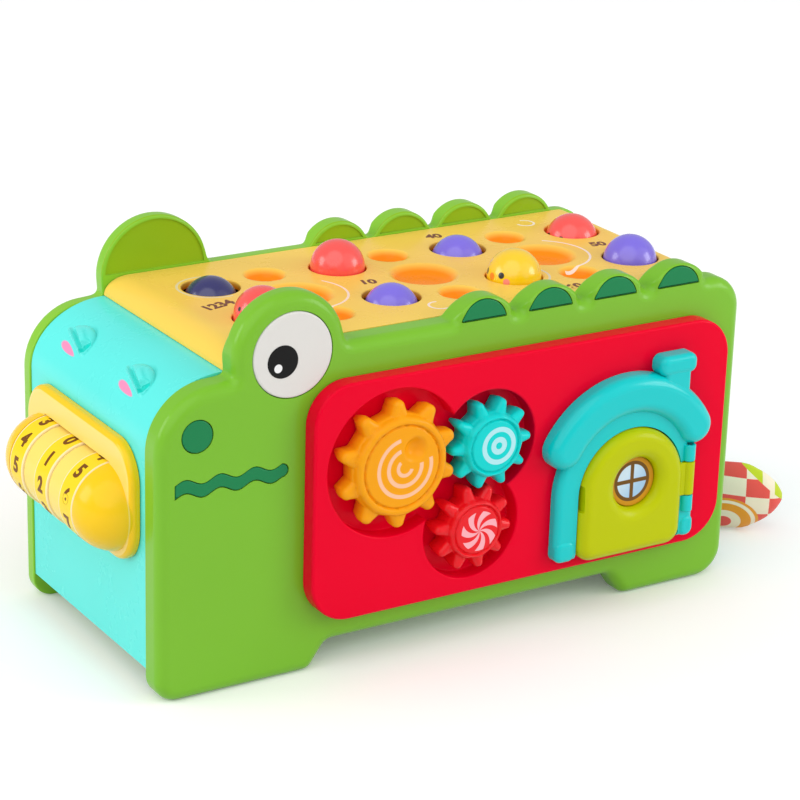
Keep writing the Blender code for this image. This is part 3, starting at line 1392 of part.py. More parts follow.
def make_tail():
    """The padded tail, lofted through its stations, with a stitched tab at its root."""
    stations = tail_stations()
    work = bmesh.new()
    rings = []
    for index, (x, y, z, height, thickness) in enumerate(stations):
        before = Vector(stations[max(index - 1, 0)][:2])
        after = Vector(stations[min(index + 1, len(stations) - 1)][:2])
        heading = (after - before).normalized()
        across = Vector((-heading[1], heading[0], 0))
        ring = []
        for side, up in pillow_section(height, thickness, SMALL_STEPS):
            ring.append(work.verts.new(Vector((x, y, z + up)) + across * side))
        rings.append(ring)
    count = len(rings[0])
    for first, second in zip(rings, rings[1:]):
        for index in range(count):
            following = (index + 1) % count
            work.faces.new((first[index], first[following], second[following], second[index]))
    work.faces.new(rings[0])
    tip = work.verts.new((REAR_OUTER_X + TAIL_OUT + REAR_SET_BACK, MIDDLE_Y - TAIL_SIDE, stations[-1][2]))
    for index in range(count):
        work.faces.new((rings[-1][index], rings[-1][(index + 1) % count], tip))
    bmesh.ops.recalc_face_normals(work, faces=work.faces)
    mesh = bpy.data.meshes.new("tail")
    work.to_mesh(mesh)
    work.free()
    tail = bpy.data.objects.new("tail", mesh)
    return finish(smooth(tail, 80), TAIL_CREAM, 0.9)


def make_tail_anchor():
    """The block inside the rear panel that holds the tail's tab."""
    bottom, peak = tab_heights()
    high_x = REAR_OUTER_X - REAR_WALL - FIT_GAP
    base_top = BASE_Z + BASE_WALL + FIT_GAP
    anchor = block(
        "tail_anchor",
        (high_x - ANCHOR_LENGTH, MIDDLE_Y - ANCHOR_HALF_WIDTH, base_top),
        (high_x, MIDDLE_Y + ANCHOR_HALF_WIDTH, peak + ANCHOR_MARGIN),
    )
    half = TAIL_TAB_THICKNESS / 2 + FIT_GAP
    slot = block(
        "anchor_slot",
        (REAR_OUTER_X - TAIL_TAB_LENGTH - FIT_GAP, MIDDLE_Y - half, bottom - FIT_GAP),
        (high_x + OVERRUN, MIDDLE_Y + half, peak + FIT_GAP),
    )
    cut(anchor, slot)
    return finish(anchor, INNER_WHITE)


def main():
    """Builds the whole toy."""
    empty_scene()
    make_side_panel("near")
    make_side_panel("far")
    make_nose_shell()
    make_deck()
    make_rear_panel()
    make_base()
    make_guide_plate()
    make_rockers()
    make_moles()
    make_activity_panel()
    make_far_plate()
    make_gears()
    make_house_frame()
    make_door()
    make_bezel()
    make_rings()
    make_tail()
    make_tail_anchor()
    print(f"overall length {OVERALL_LENGTH:.4f} m, width {OVERALL_WIDTH:.4f} m")


main()
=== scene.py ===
# %% [markdown]
# Activity cube: a lesson in moulded plastic and padded cloth.
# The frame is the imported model. It fixes every size, place and joint, and this file gives it its looks.
# Sizes are in millimetres, and a mesh gets them in metres. Each cell makes one kind of piece with numpy.

import json
import math

import bmesh
import bpy
import numpy as np
from mathutils import Matrix, Vector

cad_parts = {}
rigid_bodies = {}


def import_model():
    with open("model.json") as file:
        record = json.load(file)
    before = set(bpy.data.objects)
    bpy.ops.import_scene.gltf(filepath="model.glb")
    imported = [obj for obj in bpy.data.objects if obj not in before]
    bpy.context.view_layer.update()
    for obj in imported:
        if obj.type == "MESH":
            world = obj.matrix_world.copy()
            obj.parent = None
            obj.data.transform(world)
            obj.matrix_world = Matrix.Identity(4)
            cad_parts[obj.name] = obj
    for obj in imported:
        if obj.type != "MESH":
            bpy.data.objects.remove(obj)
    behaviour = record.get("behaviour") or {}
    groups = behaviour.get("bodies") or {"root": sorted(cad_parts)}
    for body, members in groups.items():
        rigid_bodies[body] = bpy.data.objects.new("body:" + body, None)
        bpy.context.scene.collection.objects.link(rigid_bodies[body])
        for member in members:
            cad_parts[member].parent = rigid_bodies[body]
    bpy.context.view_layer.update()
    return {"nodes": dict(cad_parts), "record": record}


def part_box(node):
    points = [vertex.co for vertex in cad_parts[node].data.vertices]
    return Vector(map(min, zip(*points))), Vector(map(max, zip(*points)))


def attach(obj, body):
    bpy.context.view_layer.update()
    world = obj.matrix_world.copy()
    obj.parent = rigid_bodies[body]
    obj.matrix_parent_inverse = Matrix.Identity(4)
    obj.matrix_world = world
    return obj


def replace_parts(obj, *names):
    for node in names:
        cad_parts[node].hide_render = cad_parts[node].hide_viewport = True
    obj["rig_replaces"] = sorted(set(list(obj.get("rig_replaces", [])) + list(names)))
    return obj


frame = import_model()
MM = 0.001
SLOT_OF = {row["node"]: row["material_slot"] for row in frame["record"]["subparts"]}
BODY_OF = {node: body for body, nodes in frame["record"]["behaviour"]["bodies"].items() for node in nodes}

# %% [markdown]
# The toy's main faces. They are read from the nodes, so that a new pack moves the looks along with it.
# The eye, the scutes and the plate repeat sizes of the part's source, because only the frame is read here.


# %% Main faces
def box(node):
    """A node's lowest and highest corner, in millimetres."""
    return [np.array(corner, dtype=float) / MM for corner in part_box(node)]


(SNOUT_X, NEAR_Y, _), (TAIL_X, INNER_NEAR_Y, _) = box("near_side_panel")
(_, INNER_FAR_Y, _), (_, FAR_Y, _) = box("far_side_panel")
NOSE_X = SNOUT_X + 1.9
MIDDLE_Y = (INNER_NEAR_Y + INNER_FAR_Y) / 2
TOP = 150.0
EYE = np.array([NOSE_X + 61, TOP - 1])
PLATE_FRONT = box("activity_panel")[0][1]
REAR_X = box("rear_panel")[1][0]
print("panel", SNOUT_X, TAIL_X, "deck", INNER_NEAR_Y, INNER_FAR_Y)

# %% [markdown]
# Outlines are closed rows of points, listed counter-clockwise.
# A corner is replaced by an arc that touches both sides, because moulded plastic has no sharp corner.
# An inset moves each point along the bisector of its two edges, which keeps the sides parallel.


# %% Outlines
def unit(rows):
    """Each row divided by its length."""
    return rows / np.linalg.norm(rows, axis=-1, keepdims=True)


def arc(centre, radius, start, end, steps):
    """Points centre + radius * (cos a, sin a), with a going from start to end in degrees."""
    angle = np.radians(np.linspace(start, end, steps + 1))
    return np.array(centre) + radius * np.column_stack([np.cos(angle), np.sin(angle)])


def circle(centre, radius, steps=72):
    """A closed circle."""
    return arc(centre, radius, 0, 360, steps)[:-1]


def rounded(corners, step=5.0):
    """Corners (a, b, radius) with each corner replaced by an arc of one point per step degrees."""
    spots = np.array([corner[:2] for corner in corners], dtype=float)
    found = []
    for index, here in enumerate(spots):
        radius = corners[index][2]
        if radius == 0:
            found.append(here[None])
            continue
        before = unit(spots[index - 1] - here)
        after = unit(spots[(index + 1) % len(spots)] - here)
        half = math.acos(np.clip(before @ after, -1, 1)) / 2
        middle = here + unit(before + after) * radius / math.sin(half)
        first = here + before * radius / math.tan(half) - middle
        last = here + after * radius / math.tan(half) - middle
        start = math.degrees(math.atan2(first[1], first[0]))
        turn = math.degrees(math.atan2(first[0] * last[1] - first[1] * last[0], first @ last))
        found.append(arc(middle, radius, start, start + turn, max(2, round(abs(turn) / step))))
    return np.vstack(found)


def rounded_box(low, high, radius, step=5.0):
    """A rectangle's outline with round corners."""
    corners = [(low[0], low[1]), (high[0], low[1]), (high[0], high[1]), (low[0], high[1])]
    return rounded([(a, b, radius) for a, b in corners], step)


def even(outline, gap):
    """The same closed outline with its points one gap apart."""
    loop = np.vstack([outline, outline[:1]])
    along = np.concatenate([[0], np.cumsum(np.linalg.norm(np.diff(loop, axis=0), axis=1))])
    count = max(8, round(along[-1] / gap))
    places = np.arange(count) * along[-1] / count
    return np.column_stack([np.interp(places, along, loop[:, k]) for k in (0, 1)])


def softened(outline, spots, reach, gap=0.5):
    """Gives corners a small fillet: near each spot the outline turns into its running mean."""
    loop = even(outline, gap)
    width = int(reach / gap)
    weights = np.hanning(2 * width + 3)[1:-1]
    padded = np.vstack([loop[-width:], loop, loop[:width]])
    mean = np.column_stack([np.convolve(padded[:, k], weights / weights.sum(), "valid") for k in (0, 1)])
    distance = np.linalg.norm(loop[:, None] - np.array(spots), axis=2).min(axis=1)
    nearness = np.clip(2 - distance / reach, 0, 1)
    share = (nearness ** 2 * (3 - 2 * nearness))[:, None]
    return loop * (1 - share) + mean * share


def inset(outline, amount):
    """Each point moved inwards along the bisector of its edges, by amount / cos(half the turn)."""
    before = unit(outline - np.roll(outline, 1, axis=0))
    after = unit(np.roll(outline, -1, axis=0) - outline)
    left = (before + after)[:, ::-1] * [-1, 1]
    scale = np.maximum(1 + np.sum(before * after, axis=1), 0.4)
    return outline + np.reshape(amount, (-1, 1)) * left / scale[:, None]


def counter_clockwise(outline):
    """The outline turned round if its signed area is negative."""
    following = np.roll(outline, -1, axis=0)
    area = np.sum(outline[:, 0] * following[:, 1] - following[:, 0] * outline[:, 1])
    return outline if area > 0 else outline[::-1]


print("outline helpers ready")

# %% [markdown]
# A surface is a grid of points: rows run along one parameter and columns along the other.
# Rows of a closed outline, each inset a little and moved a little, make a slab with a rounded rim.
# Its two ends are closed by one flat face each, and the volume's sign tells whether the faces point outwards.


# %% Meshes from grids
def quads(rows, columns, wrap=True):
    """Faces between the rows of a grid, whose last column joins the first if it wraps."""
    last = columns if wrap else columns - 1
    row, column = np.meshgrid(np.arange(rows - 1), np.arange(last), indexing="ij")
    here, beside = row * columns + column, row * columns + (column + 1) % columns
    return np.stack([here, beside, beside + columns, here + columns], axis=-1).reshape(-1, 4)


def tube(rows, columns):
    """Faces of a grid whose rows are closed rings, with one flat face at each end."""
    ring = np.arange(columns)
    return [quads(rows, columns), ring[::-1], ring + (rows - 1) * columns]


def volume(points, blocks):
    """Sum over all faces, as fans, of first . (second x third) / 6."""
    rings = [points[block] for block in blocks]
    return sum(np.sum(np.cross(ring[:, 1:-1], ring[:, 2:]) * ring[:, :1]) for ring in rings) / 6


def mesh_from(name, points, corners, sizes):
    """An object at the origin, from points in metres, the corners of all faces, and the faces' sizes."""
    mesh = bpy.data.meshes.new(name)
    mesh.vertices.add(len(points))
    mesh.vertices.foreach_set("co", np.asarray(points, dtype=np.float32).ravel())
    mesh.loops.add(len(corners))
    mesh.loops.foreach_set("vertex_index", corners.astype(np.int32))
    mesh.polygons.add(len(sizes))
    mesh.polygons.foreach_set("loop_start", (np.cumsum(sizes) - sizes).astype(np.int32))
    mesh.update(calc_edges=True)
    mesh.validate()
    mesh.shade_smooth()
    piece = bpy.data.objects.new(name, mesh)
    bpy.context.scene.collection.objects.link(piece)
    return piece


def mesh_of(name, points, blocks, outwards=True):
    """A mesh in millimetres. Each block lists faces with the same number of corners, turned outwards."""
    blocks = [np.atleast_2d(np.asarray(block, dtype=np.int64)) for block in blocks]
    if outwards and volume(points - points.mean(axis=0), blocks) < 0:
        blocks = [block[:, ::-1] for block in blocks]
    corners = np.concatenate([block.ravel() for block in blocks])
    sizes = np.concatenate([np.full(len(block), block.shape[1]) for block in blocks])
    return mesh_from(name, points * MM, corners, sizes)


def arrays_of(mesh):
    """A mesh's points, its corner list and its faces' sizes."""
    points = np.zeros(len(mesh.vertices) * 3, dtype=np.float32)
    mesh.vertices.foreach_get("co", points)
    corners = np.zeros(len(mesh.loops), dtype=np.int32)
    mesh.loops.foreach_get("vertex_index", corners)
    sizes = np.zeros(len(mesh.polygons), dtype=np.int32)
    mesh.polygons.foreach_get("loop_total", sizes)
    return points.reshape(-1, 3).astype(float), corners, sizes


def in_space(outline, depth, axis):
    """A flat outline (a, b) put at a depth along X or Y."""
    a, b = outline.T
    level = np.full(len(outline), depth)
    return np.column_stack([level, a, b] if axis == "X" else [a, level, b])


HAIR = 0.15


def slab(name, outline, axis, back, front, rim=0.1, back_rim=0.0, steps=1):
    """Outline rows from the back to the front: the rim's row at angle a is inset by rim * (1 - cos a)
    and stands rim * (1 - sin a) short of the front. Support rows keep the flat parts flat.
    A rim may be a row with one value for each point of the outline."""
    outline = counter_clockwise(np.asarray(outline, dtype=float))
    sign = 1 if front > back else -1
    angle = np.linspace(0, math.pi / 2, steps + 1)
    turn = list(zip(1 - np.cos(angle), 1 - np.sin(angle)))
    rows = [(0.0, back)]
    if np.max(back_rim) > 0:
        rows = [(back_rim + HAIR, back)] + [(back_rim * b, back + sign * back_rim * a) for a, b in turn]
    rows += [(rim * a, front - sign * rim * b) for a, b in turn] + [(rim + HAIR, front)]
    grid = np.stack([in_space(inset(outline, amount), depth, axis) for amount, depth in rows])
    return mesh_of(name, grid.reshape(-1, 3), tube(len(rows), len(outline)))


def block(name, low, high, corner, axis, ends, rim=0.1, back_rim=0.0, steps=1, step=5.0):
    """A slab over a rectangle with round corners."""
    return slab(name, rounded_box(low, high, corner, step), axis, *ends, rim, back_rim, steps)


def turned(name, profile, centre, axis="Z", steps=72):
    """A profile (radius, height), from pole to pole, swept round Y or Z: (r cos a, r sin a, h)."""
    profile = np.asarray(profile, dtype=float)
    radius, height = profile[1:-1].T[:, :, None]
    angle = np.linspace(0, 2 * math.pi, steps, endpoint=False)
    ring = np.stack(np.broadcast_arrays(radius * np.cos(angle), radius * np.sin(angle), height), axis=-1)
    points = np.vstack([ring.reshape(-1, 3), [[0, 0, profile[0, 1]], [0, 0, profile[-1, 1]]]])
    here = np.arange(steps)
    following = (here + 1) % steps
    first, last = np.full(steps, len(points) - 2), np.full(steps, len(points) - 1)
    start = (len(radius) - 1) * steps
    caps = [np.column_stack([first, following, here])]
    caps += [np.column_stack([last, start + here, start + following])]
    order = {"Z": (0, 1, 2), "Y": (0, 2, 1)}[axis]
    return mesh_of(name, points[:, order] + np.array(centre), [quads(len(radius), steps), *caps])


print("grid helpers ready")

# %% [markdown]
# Holes and recesses are cut with the exact Boolean solver and the result is kept as a plain mesh.
# Weighted normals let the large flat faces decide the shading next to a small rounded lip.


# %% Cutting and finishing
def worked_in(piece):
    """A mesh of the piece with its modifiers worked in, put in place of its own."""
    plain = bpy.data.meshes.new_from_object(piece.evaluated_get(bpy.context.evaluated_depsgraph_get()))
    piece.modifiers.clear()
    piece.data = plain


def settled(piece, angle=35):
    """Works the modifiers in. Then edges over the angle are sharp and large flat faces lead the shading."""
    if piece.modifiers:
        worked_in(piece)
    piece.data.shade_smooth()
    piece.data.set_sharp_from_angle(angle=math.radians(angle))
    piece.modifiers.new("flat faces lead", "WEIGHTED_NORMAL").keep_sharp = True
    worked_in(piece)
    return piece


def carved(piece, *cutters, joined=()):
    """Joins solids to a piece, cuts others from it, and removes them."""
    for operation, others in (("UNION", joined), ("DIFFERENCE", cutters)):
        for other in others:
            step = piece.modifiers.new(operation.lower(), "BOOLEAN")
            step.operation = operation
            step.solver = "EXACT"
            step.object = other
    settled(piece)
    for other in [*cutters, *joined]:
        bpy.data.objects.remove(other, do_unlink=True)


def merged(name, pieces):
    """Several meshes as one: their points and corners one after another."""
    points, corners, sizes = zip(*[arrays_of(piece.data) for piece in pieces])
    starts = np.cumsum([0] + [len(rows) for rows in points])
    corners = np.concatenate([row + start for row, start in zip(corners, starts)])
    for piece in pieces:
        bpy.data.objects.remove(piece, do_unlink=True)
    return mesh_from(name, np.vstack(points), corners, np.concatenate(sizes))


def dressed(piece, material, node):
    """Gives a piece its material, its body and the node that it stands for."""
    piece.data.materials.clear()
    piece.data.materials.append(material)
    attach(piece, BODY_OF[node])
    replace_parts(piece, node)
    print(piece.name, len(piece.data.polygons), "faces")


# %% [markdown]
# Shader maths is written as plain expressions.
# A wire wraps one socket, and adding or comparing wires adds the Math nodes that do it.


# %% Wires and recipes
class Wire:
    """One output socket that takes part in sums. Numbers from numpy leave a sum to the wire."""

    __array_ufunc__ = None

    def __init__(self, recipe, socket):
        self.recipe = recipe
        self.socket = socket

    def math(self, operation, *others):
        """A Math node with this wire first."""
        return self.recipe.node("ShaderNodeMath", {"operation": operation}, [self, *others])


def operator(operation, reflected=False):
    """A method that adds one Math node, with its two values the other way round if reflected."""

    def method(wire, other):
        pair = [other, wire] if reflected else [wire, other]
        return wire.recipe.node("ShaderNodeMath", {"operation": operation}, pair)

    return method


for sign, operation in {"add": "ADD", "sub": "SUBTRACT", "mul": "MULTIPLY", "truediv": "DIVIDE"}.items():
    setattr(Wire, f"__{sign}__", operator(operation))
    setattr(Wire, f"__r{sign}__", operator(operation, True))
Wire.__lt__ = operator("LESS_THAN")
Wire.__gt__ = operator("GREATER_THAN")


class Recipe:
    """A material, with one method that adds any node."""

    def __init__(self, name):
        self.material = bpy.data.materials.new(name)
        self.material.use_nodes = True
        self.tree = self.material.node_tree
        self.shader = self.tree.nodes["Principled BSDF"]

    def fill(self, sockets, values):
        """Links a wire to each socket that gets one, and sets a plain value on the others."""
        for key, value in values.items():
            if isinstance(value, Wire):
                self.tree.links.new(value.socket, sockets[key])
            else:
                sockets[key].default_value = value

    def node(self, kind, settings=None, values=(), output=0):
        """Adds a node: first its settings, then the values or wires of its sockets by place or name."""
        made = self.tree.nodes.new(kind)
        for key, value in (settings or {}).items():
            setattr(made, key, value)
        self.fill(made.inputs, values if isinstance(values, dict) else dict(enumerate(values)))
        return Wire(self, made.outputs[output])

    def place(self):
        """The object's own coordinates as three wires, in millimetres."""
        where = self.node("ShaderNodeTexCoord", output="Object")
        return [self.node("ShaderNodeSeparateXYZ", {}, [where], axis) / MM for axis in "XYZ"]

    def noise(self, scale, detail=2.0, rough=0.5):
        """Noise from 0 to 1 on the object's coordinates."""
        where = self.node("ShaderNodeTexCoord", output="Object")
        values = {"Vector": where, "Scale": scale, "Detail": detail, "Roughness": rough}
        return self.node("ShaderNodeTexNoise", {}, values, "Fac")

    def mix(self, share, first, second):
        """Colour first where share is 0 and second where it is 1."""
        return self.node("ShaderNodeMix", {"data_type": "RGBA"}, {0: share, 6: first, 7: second}, 2)

    def bump(self, height, strength, distance):
        """A skin that is raised where height is large."""
        return self.node("ShaderNodeBump", {}, {"Strength": strength, "Distance": distance, "Height": height})

    def feed(self, values):
        """Gives the shader its wires and plain values, and returns the material."""
        self.fill(self.shader.inputs, values)
        return self.material


def tint(code, gain=1.0):
    """Linear colour of a web colour, made lighter or darker by a gain."""
    values = [int(code[i:i + 2], 16) / 255 for i in (1, 3, 5)]
    linear = [v / 12.92 if v <= 0.04045 else ((v + 0.055) / 1.055) ** 2.4 for v in values]
    return (*[min(1.0, v * gain) for v in linear], 1.0)


def inside(distance, radius, soft=0.12):
    """A mask that is 1 where distance is under radius, with a soft edge."""
    return ((radius - distance) / soft + 0.5).math("MINIMUM", 1.0).math("MAXIMUM", 0.0)


def band(value, centre, half, soft=0.12):
    """A mask that is 1 within half of a centre."""
    return inside((value - centre).math("ABSOLUTE"), half, soft)


def length(*parts):
    """Square root of the sum of the parts' squares."""
    total = parts[0] * parts[0]
    for part in parts[1:]:
        total = total + part * part
    return total.math("SQRT")


# %% [markdown]
# Moulded plastic is one even colour with a gloss skin.
# What keeps it from looking drawn is small: the colour drifts, the gloss is uneven where hands touch it,
# and some skins have a faint waviness from the mould.


# %% Gloss plastic
def plastic(name, code, roughness=0.27, wave=0.0, paint=None, gloss=0.10):
    """A gloss plastic whose colour, gloss and skin vary slightly; paint adds printed colours, and on some
    pieces painted light and shade.
    """
    recipe = Recipe(name)
    colour = recipe.mix(recipe.noise(14.0), tint(code, 0.96), tint(code, 1.04))
    if paint:
        colour = paint(recipe, colour, *recipe.place())
    touch = recipe.noise(38.0, 4.0, 0.6)
    if wave:
        recipe.feed({"Normal": recipe.bump(recipe.noise(190.0, 1.0), wave, 0.00015)})
    return recipe.feed({
        "Base Color": colour, "Roughness": roughness + (touch - 0.5) * 0.10,
        "Coat Weight": gloss * 0.8, "Coat Roughness": 0.14, "Specular IOR Level": gloss,
    })


def sunk_paint(recipe, colour, x, y, z):
    """Painted shade: the sunk faces of the far side's bumps are a deeper green."""
    return recipe.mix(band(y, INNER_FAR_Y + 0.7, 0.2) * (z > TOP + 0.5), colour, tint("#8DB81A"))


GREEN = plastic("green gloss shell", "#7CBE2C", roughness=0.3, gloss=0.2)
# The far shell is the same green painted lighter, as painted light for its shaded side, and its sunk faces
# carry painted shade.
FAR_GREEN_LIGHTENED = plastic("green far shell lightened with painted shade", "#88C830", roughness=0.3, paint=sunk_paint, gloss=0.2)
INLAY = plastic("dark green inlay", "#1F8450", roughness=0.36)
print("plastics", len(bpy.data.materials))

# %% [markdown]
# The side panels are two outlined boards: feet, belly, rump, four scutes, the eye's bump and the snout.
# Where a bump grows out of the top edge, the mould leaves a small fillet, so these corners are softened.

# %% Side panel outline
SCUTES = [NOSE_X + 158 + 35.2 * i for i in range(4)]
BELLY = 12.2
SNOUT = TOP - 9
CREST = NOSE_X + 61


def panel_outline():
    """Straight runs with arcs: feet and rump first, then the scutes, the bump and the snout."""
    corners = [(SNOUT_X, 0, 10), (NOSE_X + 72.5, 0, 6), (NOSE_X + 81.2, BELLY, 6), (TAIL_X - 66.7, BELLY, 6)]
    corners += [(TAIL_X - 58, 0, 6), (TAIL_X, 0, 14.5), (TAIL_X, TOP, 16), (CREST, TOP, 0)]
    body = rounded(corners + [(NOSE_X + 34, SNOUT, 0), (SNOUT_X, SNOUT - 2.5, 28.5)])
    corner = int(np.argmin(np.linalg.norm(body - [CREST, TOP], axis=1)))
    radius, rise = 17.0, 10.2
    foot = math.degrees(math.asin((radius - rise) / radius))
    scutes = [arc((x, TOP + rise - radius), radius, foot, 180 - foot, 30) for x in reversed(SCUTES)]
    bump_radius = 27.0
    start = math.degrees(math.asin((TOP - EYE[1]) / bump_radius))
    end = 180 - math.degrees(math.asin((SNOUT - EYE[1]) / bump_radius))
    bump = arc(EYE, bump_radius, start, end, 44)
    outline = np.vstack([body[:corner], *scutes, bump, body[corner + 2:]])
    soft = softened(outline, [points[k] for points in scutes for k in (0, -1)], 3.2)
    return softened(soft, [bump[0], bump[-1]], 6.0)


PANEL = panel_outline()
print("panel outline", len(PANEL), "points")

# %% [markdown]
# The inlays are thin coloured pieces pressed into recesses: the eye, the nostril, the mouth and the scutes.
# The mouth is a band that follows a cosine, and a scute is a half circle with a flat base.

# %% Inlay outlines
NOSTRIL = (NOSE_X + 16.2, TOP - 29.7)


def mouth_outline(margin=0.0):
    """Two lines base +- half + wave * cos(2 pi (d - crest) / length), with a round end at the cheek."""
    half = 2.85 + margin
    along = np.linspace(6.0 - margin, 59.4 - 2.85, 90)
    middle = TOP - 52.6 + 1.45 * np.cos(2 * math.pi * (along - 10.6) / 16.4)
    lower = np.column_stack([NOSE_X + along, middle - half])
    tip = arc((NOSE_X + along[-1], middle[-1]), half, -90, 90, 20)[1:-1]
    return even(np.vstack([lower, tip, lower[::-1] + [0, 2 * half]]), 0.6)


def scute_outline(x, margin=0.0):
    """A cap of a circle over a flat base, with small corners."""
    radius, drop, base = 11.6 + margin, 2.8, TOP + 0.3
    start = math.degrees(math.asin(drop / radius))
    cap = arc((x - 1.2, base - drop), radius, start, 180 - start, 40)
    feet = cap[[-1, 0]] * [1, 0] + [0, base - margin]
    return softened(np.vstack([feet, cap]), feet, 1.0, 0.35)


def bump_faces():
    """The eye's bump and the scutes, a little inside their edges, above the deck."""
    for centre, radius in [(EYE, 25.2)] + [((x, TOP - 6.8), 15.2) for x in SCUTES]:
        start = math.degrees(math.asin((TOP + 0.9 - centre[1]) / radius))
        yield even(arc(centre, radius, start, 180 - start, 40), 0.6)


# %% Side panels with their recesses
def side_panel(side):
    """A rounded board with a recess for each inlay and an opening for the plate."""
    near = side == "near"
    outer, inner, inward = (NEAR_Y, INNER_NEAR_Y, 1) if near else (FAR_Y, INNER_FAR_Y, -1)
    roll, full = (4.2, 5.4) if near else (1.4, 4.6)
    inner_rim = np.interp(PANEL[:, 1], [TOP, TOP + 8], [0.8, roll])
    at_scutes = np.interp(PANEL[:, 1], [TOP + 0.5, TOP + 4.5], [full, 2.0])
    outer_rim = np.where(PANEL[:, 0] > SCUTES[0] - 22, at_scutes, full)
    board = slab(f"{side}_side_shell", PANEL, "Y", inner, outer, outer_rim, inner_rim, 8)
    shapes = [circle(EYE, 19.35, 96), circle(NOSTRIL, 7.5), mouth_outline(0.4)]
    shapes += [scute_outline(x, 0.4) for x in SCUTES]
    outside, floor = outer - inward * 2, outer + inward * 2
    cutters = [slab("recess", shape, "Y", outside, floor) for shape in shapes]
    if not near:
        cutters += [slab("sunk", face, "Y", inner - 2, inner + 0.7, 0.2, steps=2) for face in bump_faces()]
    ends = (outside, outer + inward * 16)
    opening = block("opening", (NOSE_X + 70.3, 28.4), (NOSE_X + 284.6, 132), 16, "Y", ends)
    carved(board, merged("recesses", cutters), opening)
    dressed(board, GREEN if near else FAR_GREEN_LIGHTENED, f"{side}_side_panel")


side_panel("near")
side_panel("far")

# %% [markdown]
# The eye is a white disc with a domed edge, a black pupil and a small white glint, which is printed.

# %% Inlays
PUPIL_AT = EYE - [5.0, 2.2]
GLINT_AT = PUPIL_AT - [2.3, 2.6]


def pupil_print(recipe, colour, x, y, z):
    """A white glint low in the pupil, towards the snout."""
    return recipe.mix(inside(length(x - GLINT_AT[0], z - GLINT_AT[1]), 1.9), colour, tint("#F4F4F4"))


def inlay(side, part, outline, material, proud=0.2, depth=1.6, rim=0.5):
    """A thin piece with a soft edge, standing a hair proud of its side's face."""
    outer, outward = (NEAR_Y, -1) if side == "near" else (FAR_Y, 1)
    ends = (outer - outward * depth, outer + outward * proud)
    piece = slab(f"{side}_{part}_inlay", outline, "Y", *ends, rim, steps=4)
    dressed(settled(piece), material, f"{side}_{part}")


EYE_WHITE = plastic("eye white", "#E3E1DC", roughness=0.35)
PUPIL_BLACK = plastic("pupil black", "#141414", roughness=0.22, paint=pupil_print)
for side in ("near", "far"):
    inlay(side, "eye", circle(EYE, 19, 120), EYE_WHITE, 0.35, 1.6, 0.9)
    inlay(side, "pupil", circle(PUPIL_AT, 7.3), PUPIL_BLACK, 0.6, -0.3, 0.25)
    inlay(side, "nostril", circle(NOSTRIL, 7.1), INLAY)
    inlay(side, "mouth", mouth_outline(), INLAY)
    for index, x in enumerate(SCUTES):
        inlay(side, f"scute_{index + 1}", scute_outline(x), INLAY)

# %% [markdown]
# The nose is one bent sheet: an upright face, a quarter of an ellipse, and a lip under the deck.
# Its surface has two parameters, the way along the bend and the way across, so reliefs are sums on a grid.


# %% Sheets along a profile
def resampled(profile, gap, dense=None):
    """Points one gap apart along an open profile, with their unit normals to the left.
    Between the two places of dense, the points are 0.35 mm apart."""
    along = np.concatenate([[0], np.cumsum(np.linalg.norm(np.diff(profile, axis=0), axis=1))])
    places = np.linspace(0, along[-1], max(8, round(along[-1] / gap)))
    if dense:
        apart = (places < dense[0] - gap / 2) | (places > dense[1] + gap / 2)
        places = np.sort(np.concatenate([places[apart], np.arange(*dense, 0.35)]))
    points = np.column_stack([np.interp(places, along, profile[:, k]) for k in (0, 1)])
    return places, points, unit(np.gradient(points, places, axis=0))[:, ::-1] * [-1, 1]


def sheet_along(name, profile, across, wall, relief, gap, dense=None):
    """Outer face = profile + normal * relief; inner face = profile + normal * (min(relief, 0) - wall)."""
    places, points, normals = resampled(profile, gap, dense)
    place, y = np.meshgrid(places, across, indexing="ij")
    x, z = [np.repeat(points[:, k:k + 1], len(across), axis=1) for k in (0, 1)]
    rise = relief(place, x, y, z)
    levels = (rise, np.minimum(rise, 0) - wall)
    faces = [np.stack([x + normals[:, :1] * by, y, z + normals[:, 1:] * by], axis=-1) for by in levels]
    rows, columns = x.shape
    top = quads(rows, columns, wrap=False)
    bottom = top[:, ::-1] + rows * columns
    sides = [np.arange(columns), np.arange(1, rows) * columns + columns - 1]
    sides += [(rows - 1) * columns + np.arange(columns - 2, -1, -1), np.arange(rows - 2, 0, -1) * columns]
    edge = np.concatenate(sides)
    following = np.roll(edge, -1)
    rim = np.column_stack([edge, edge + rows * columns, following + rows * columns, following])
    return mesh_of(name, np.reshape(faces, (-1, 3)), [np.vstack([top, bottom, rim])])


def bump_at(distance, radius, soft):
    """1 inside the radius and 0 outside, with half a cosine of width soft between."""
    return 0.5 + 0.5 * np.cos(math.pi * np.clip((distance - radius) / soft + 0.5, 0, 1))


# %% Nose shell
NOSE_LIP = NOSE_X + 34.7
NOSE_FACE = SNOUT_X + 0.8
NOSE_FOOT = 12.5
LEDGE = TOP - 8.3
BEND = 28.5
RISE_AT = LEDGE - BEND - NOSE_FOOT
MARKS = np.array([36.4, -20.6])
CUP = (12.2, 9.3)
SHELL_Y = (INNER_NEAR_Y + 0.3, INNER_FAR_Y - 0.3)


def nose_line():
    """Up the face, then x = lip - run * cos a, z = foot + bend * sin a, then level to the ledge."""
    angle = np.radians(np.linspace(0, 90, 160))
    bend = [NOSE_LIP - (NOSE_LIP - NOSE_FACE) * np.cos(angle), LEDGE - BEND + BEND * np.sin(angle)]
    return np.vstack([[NOSE_FACE, NOSE_FOOT], np.column_stack(bend), [NOSE_LIP + 4, LEDGE]])


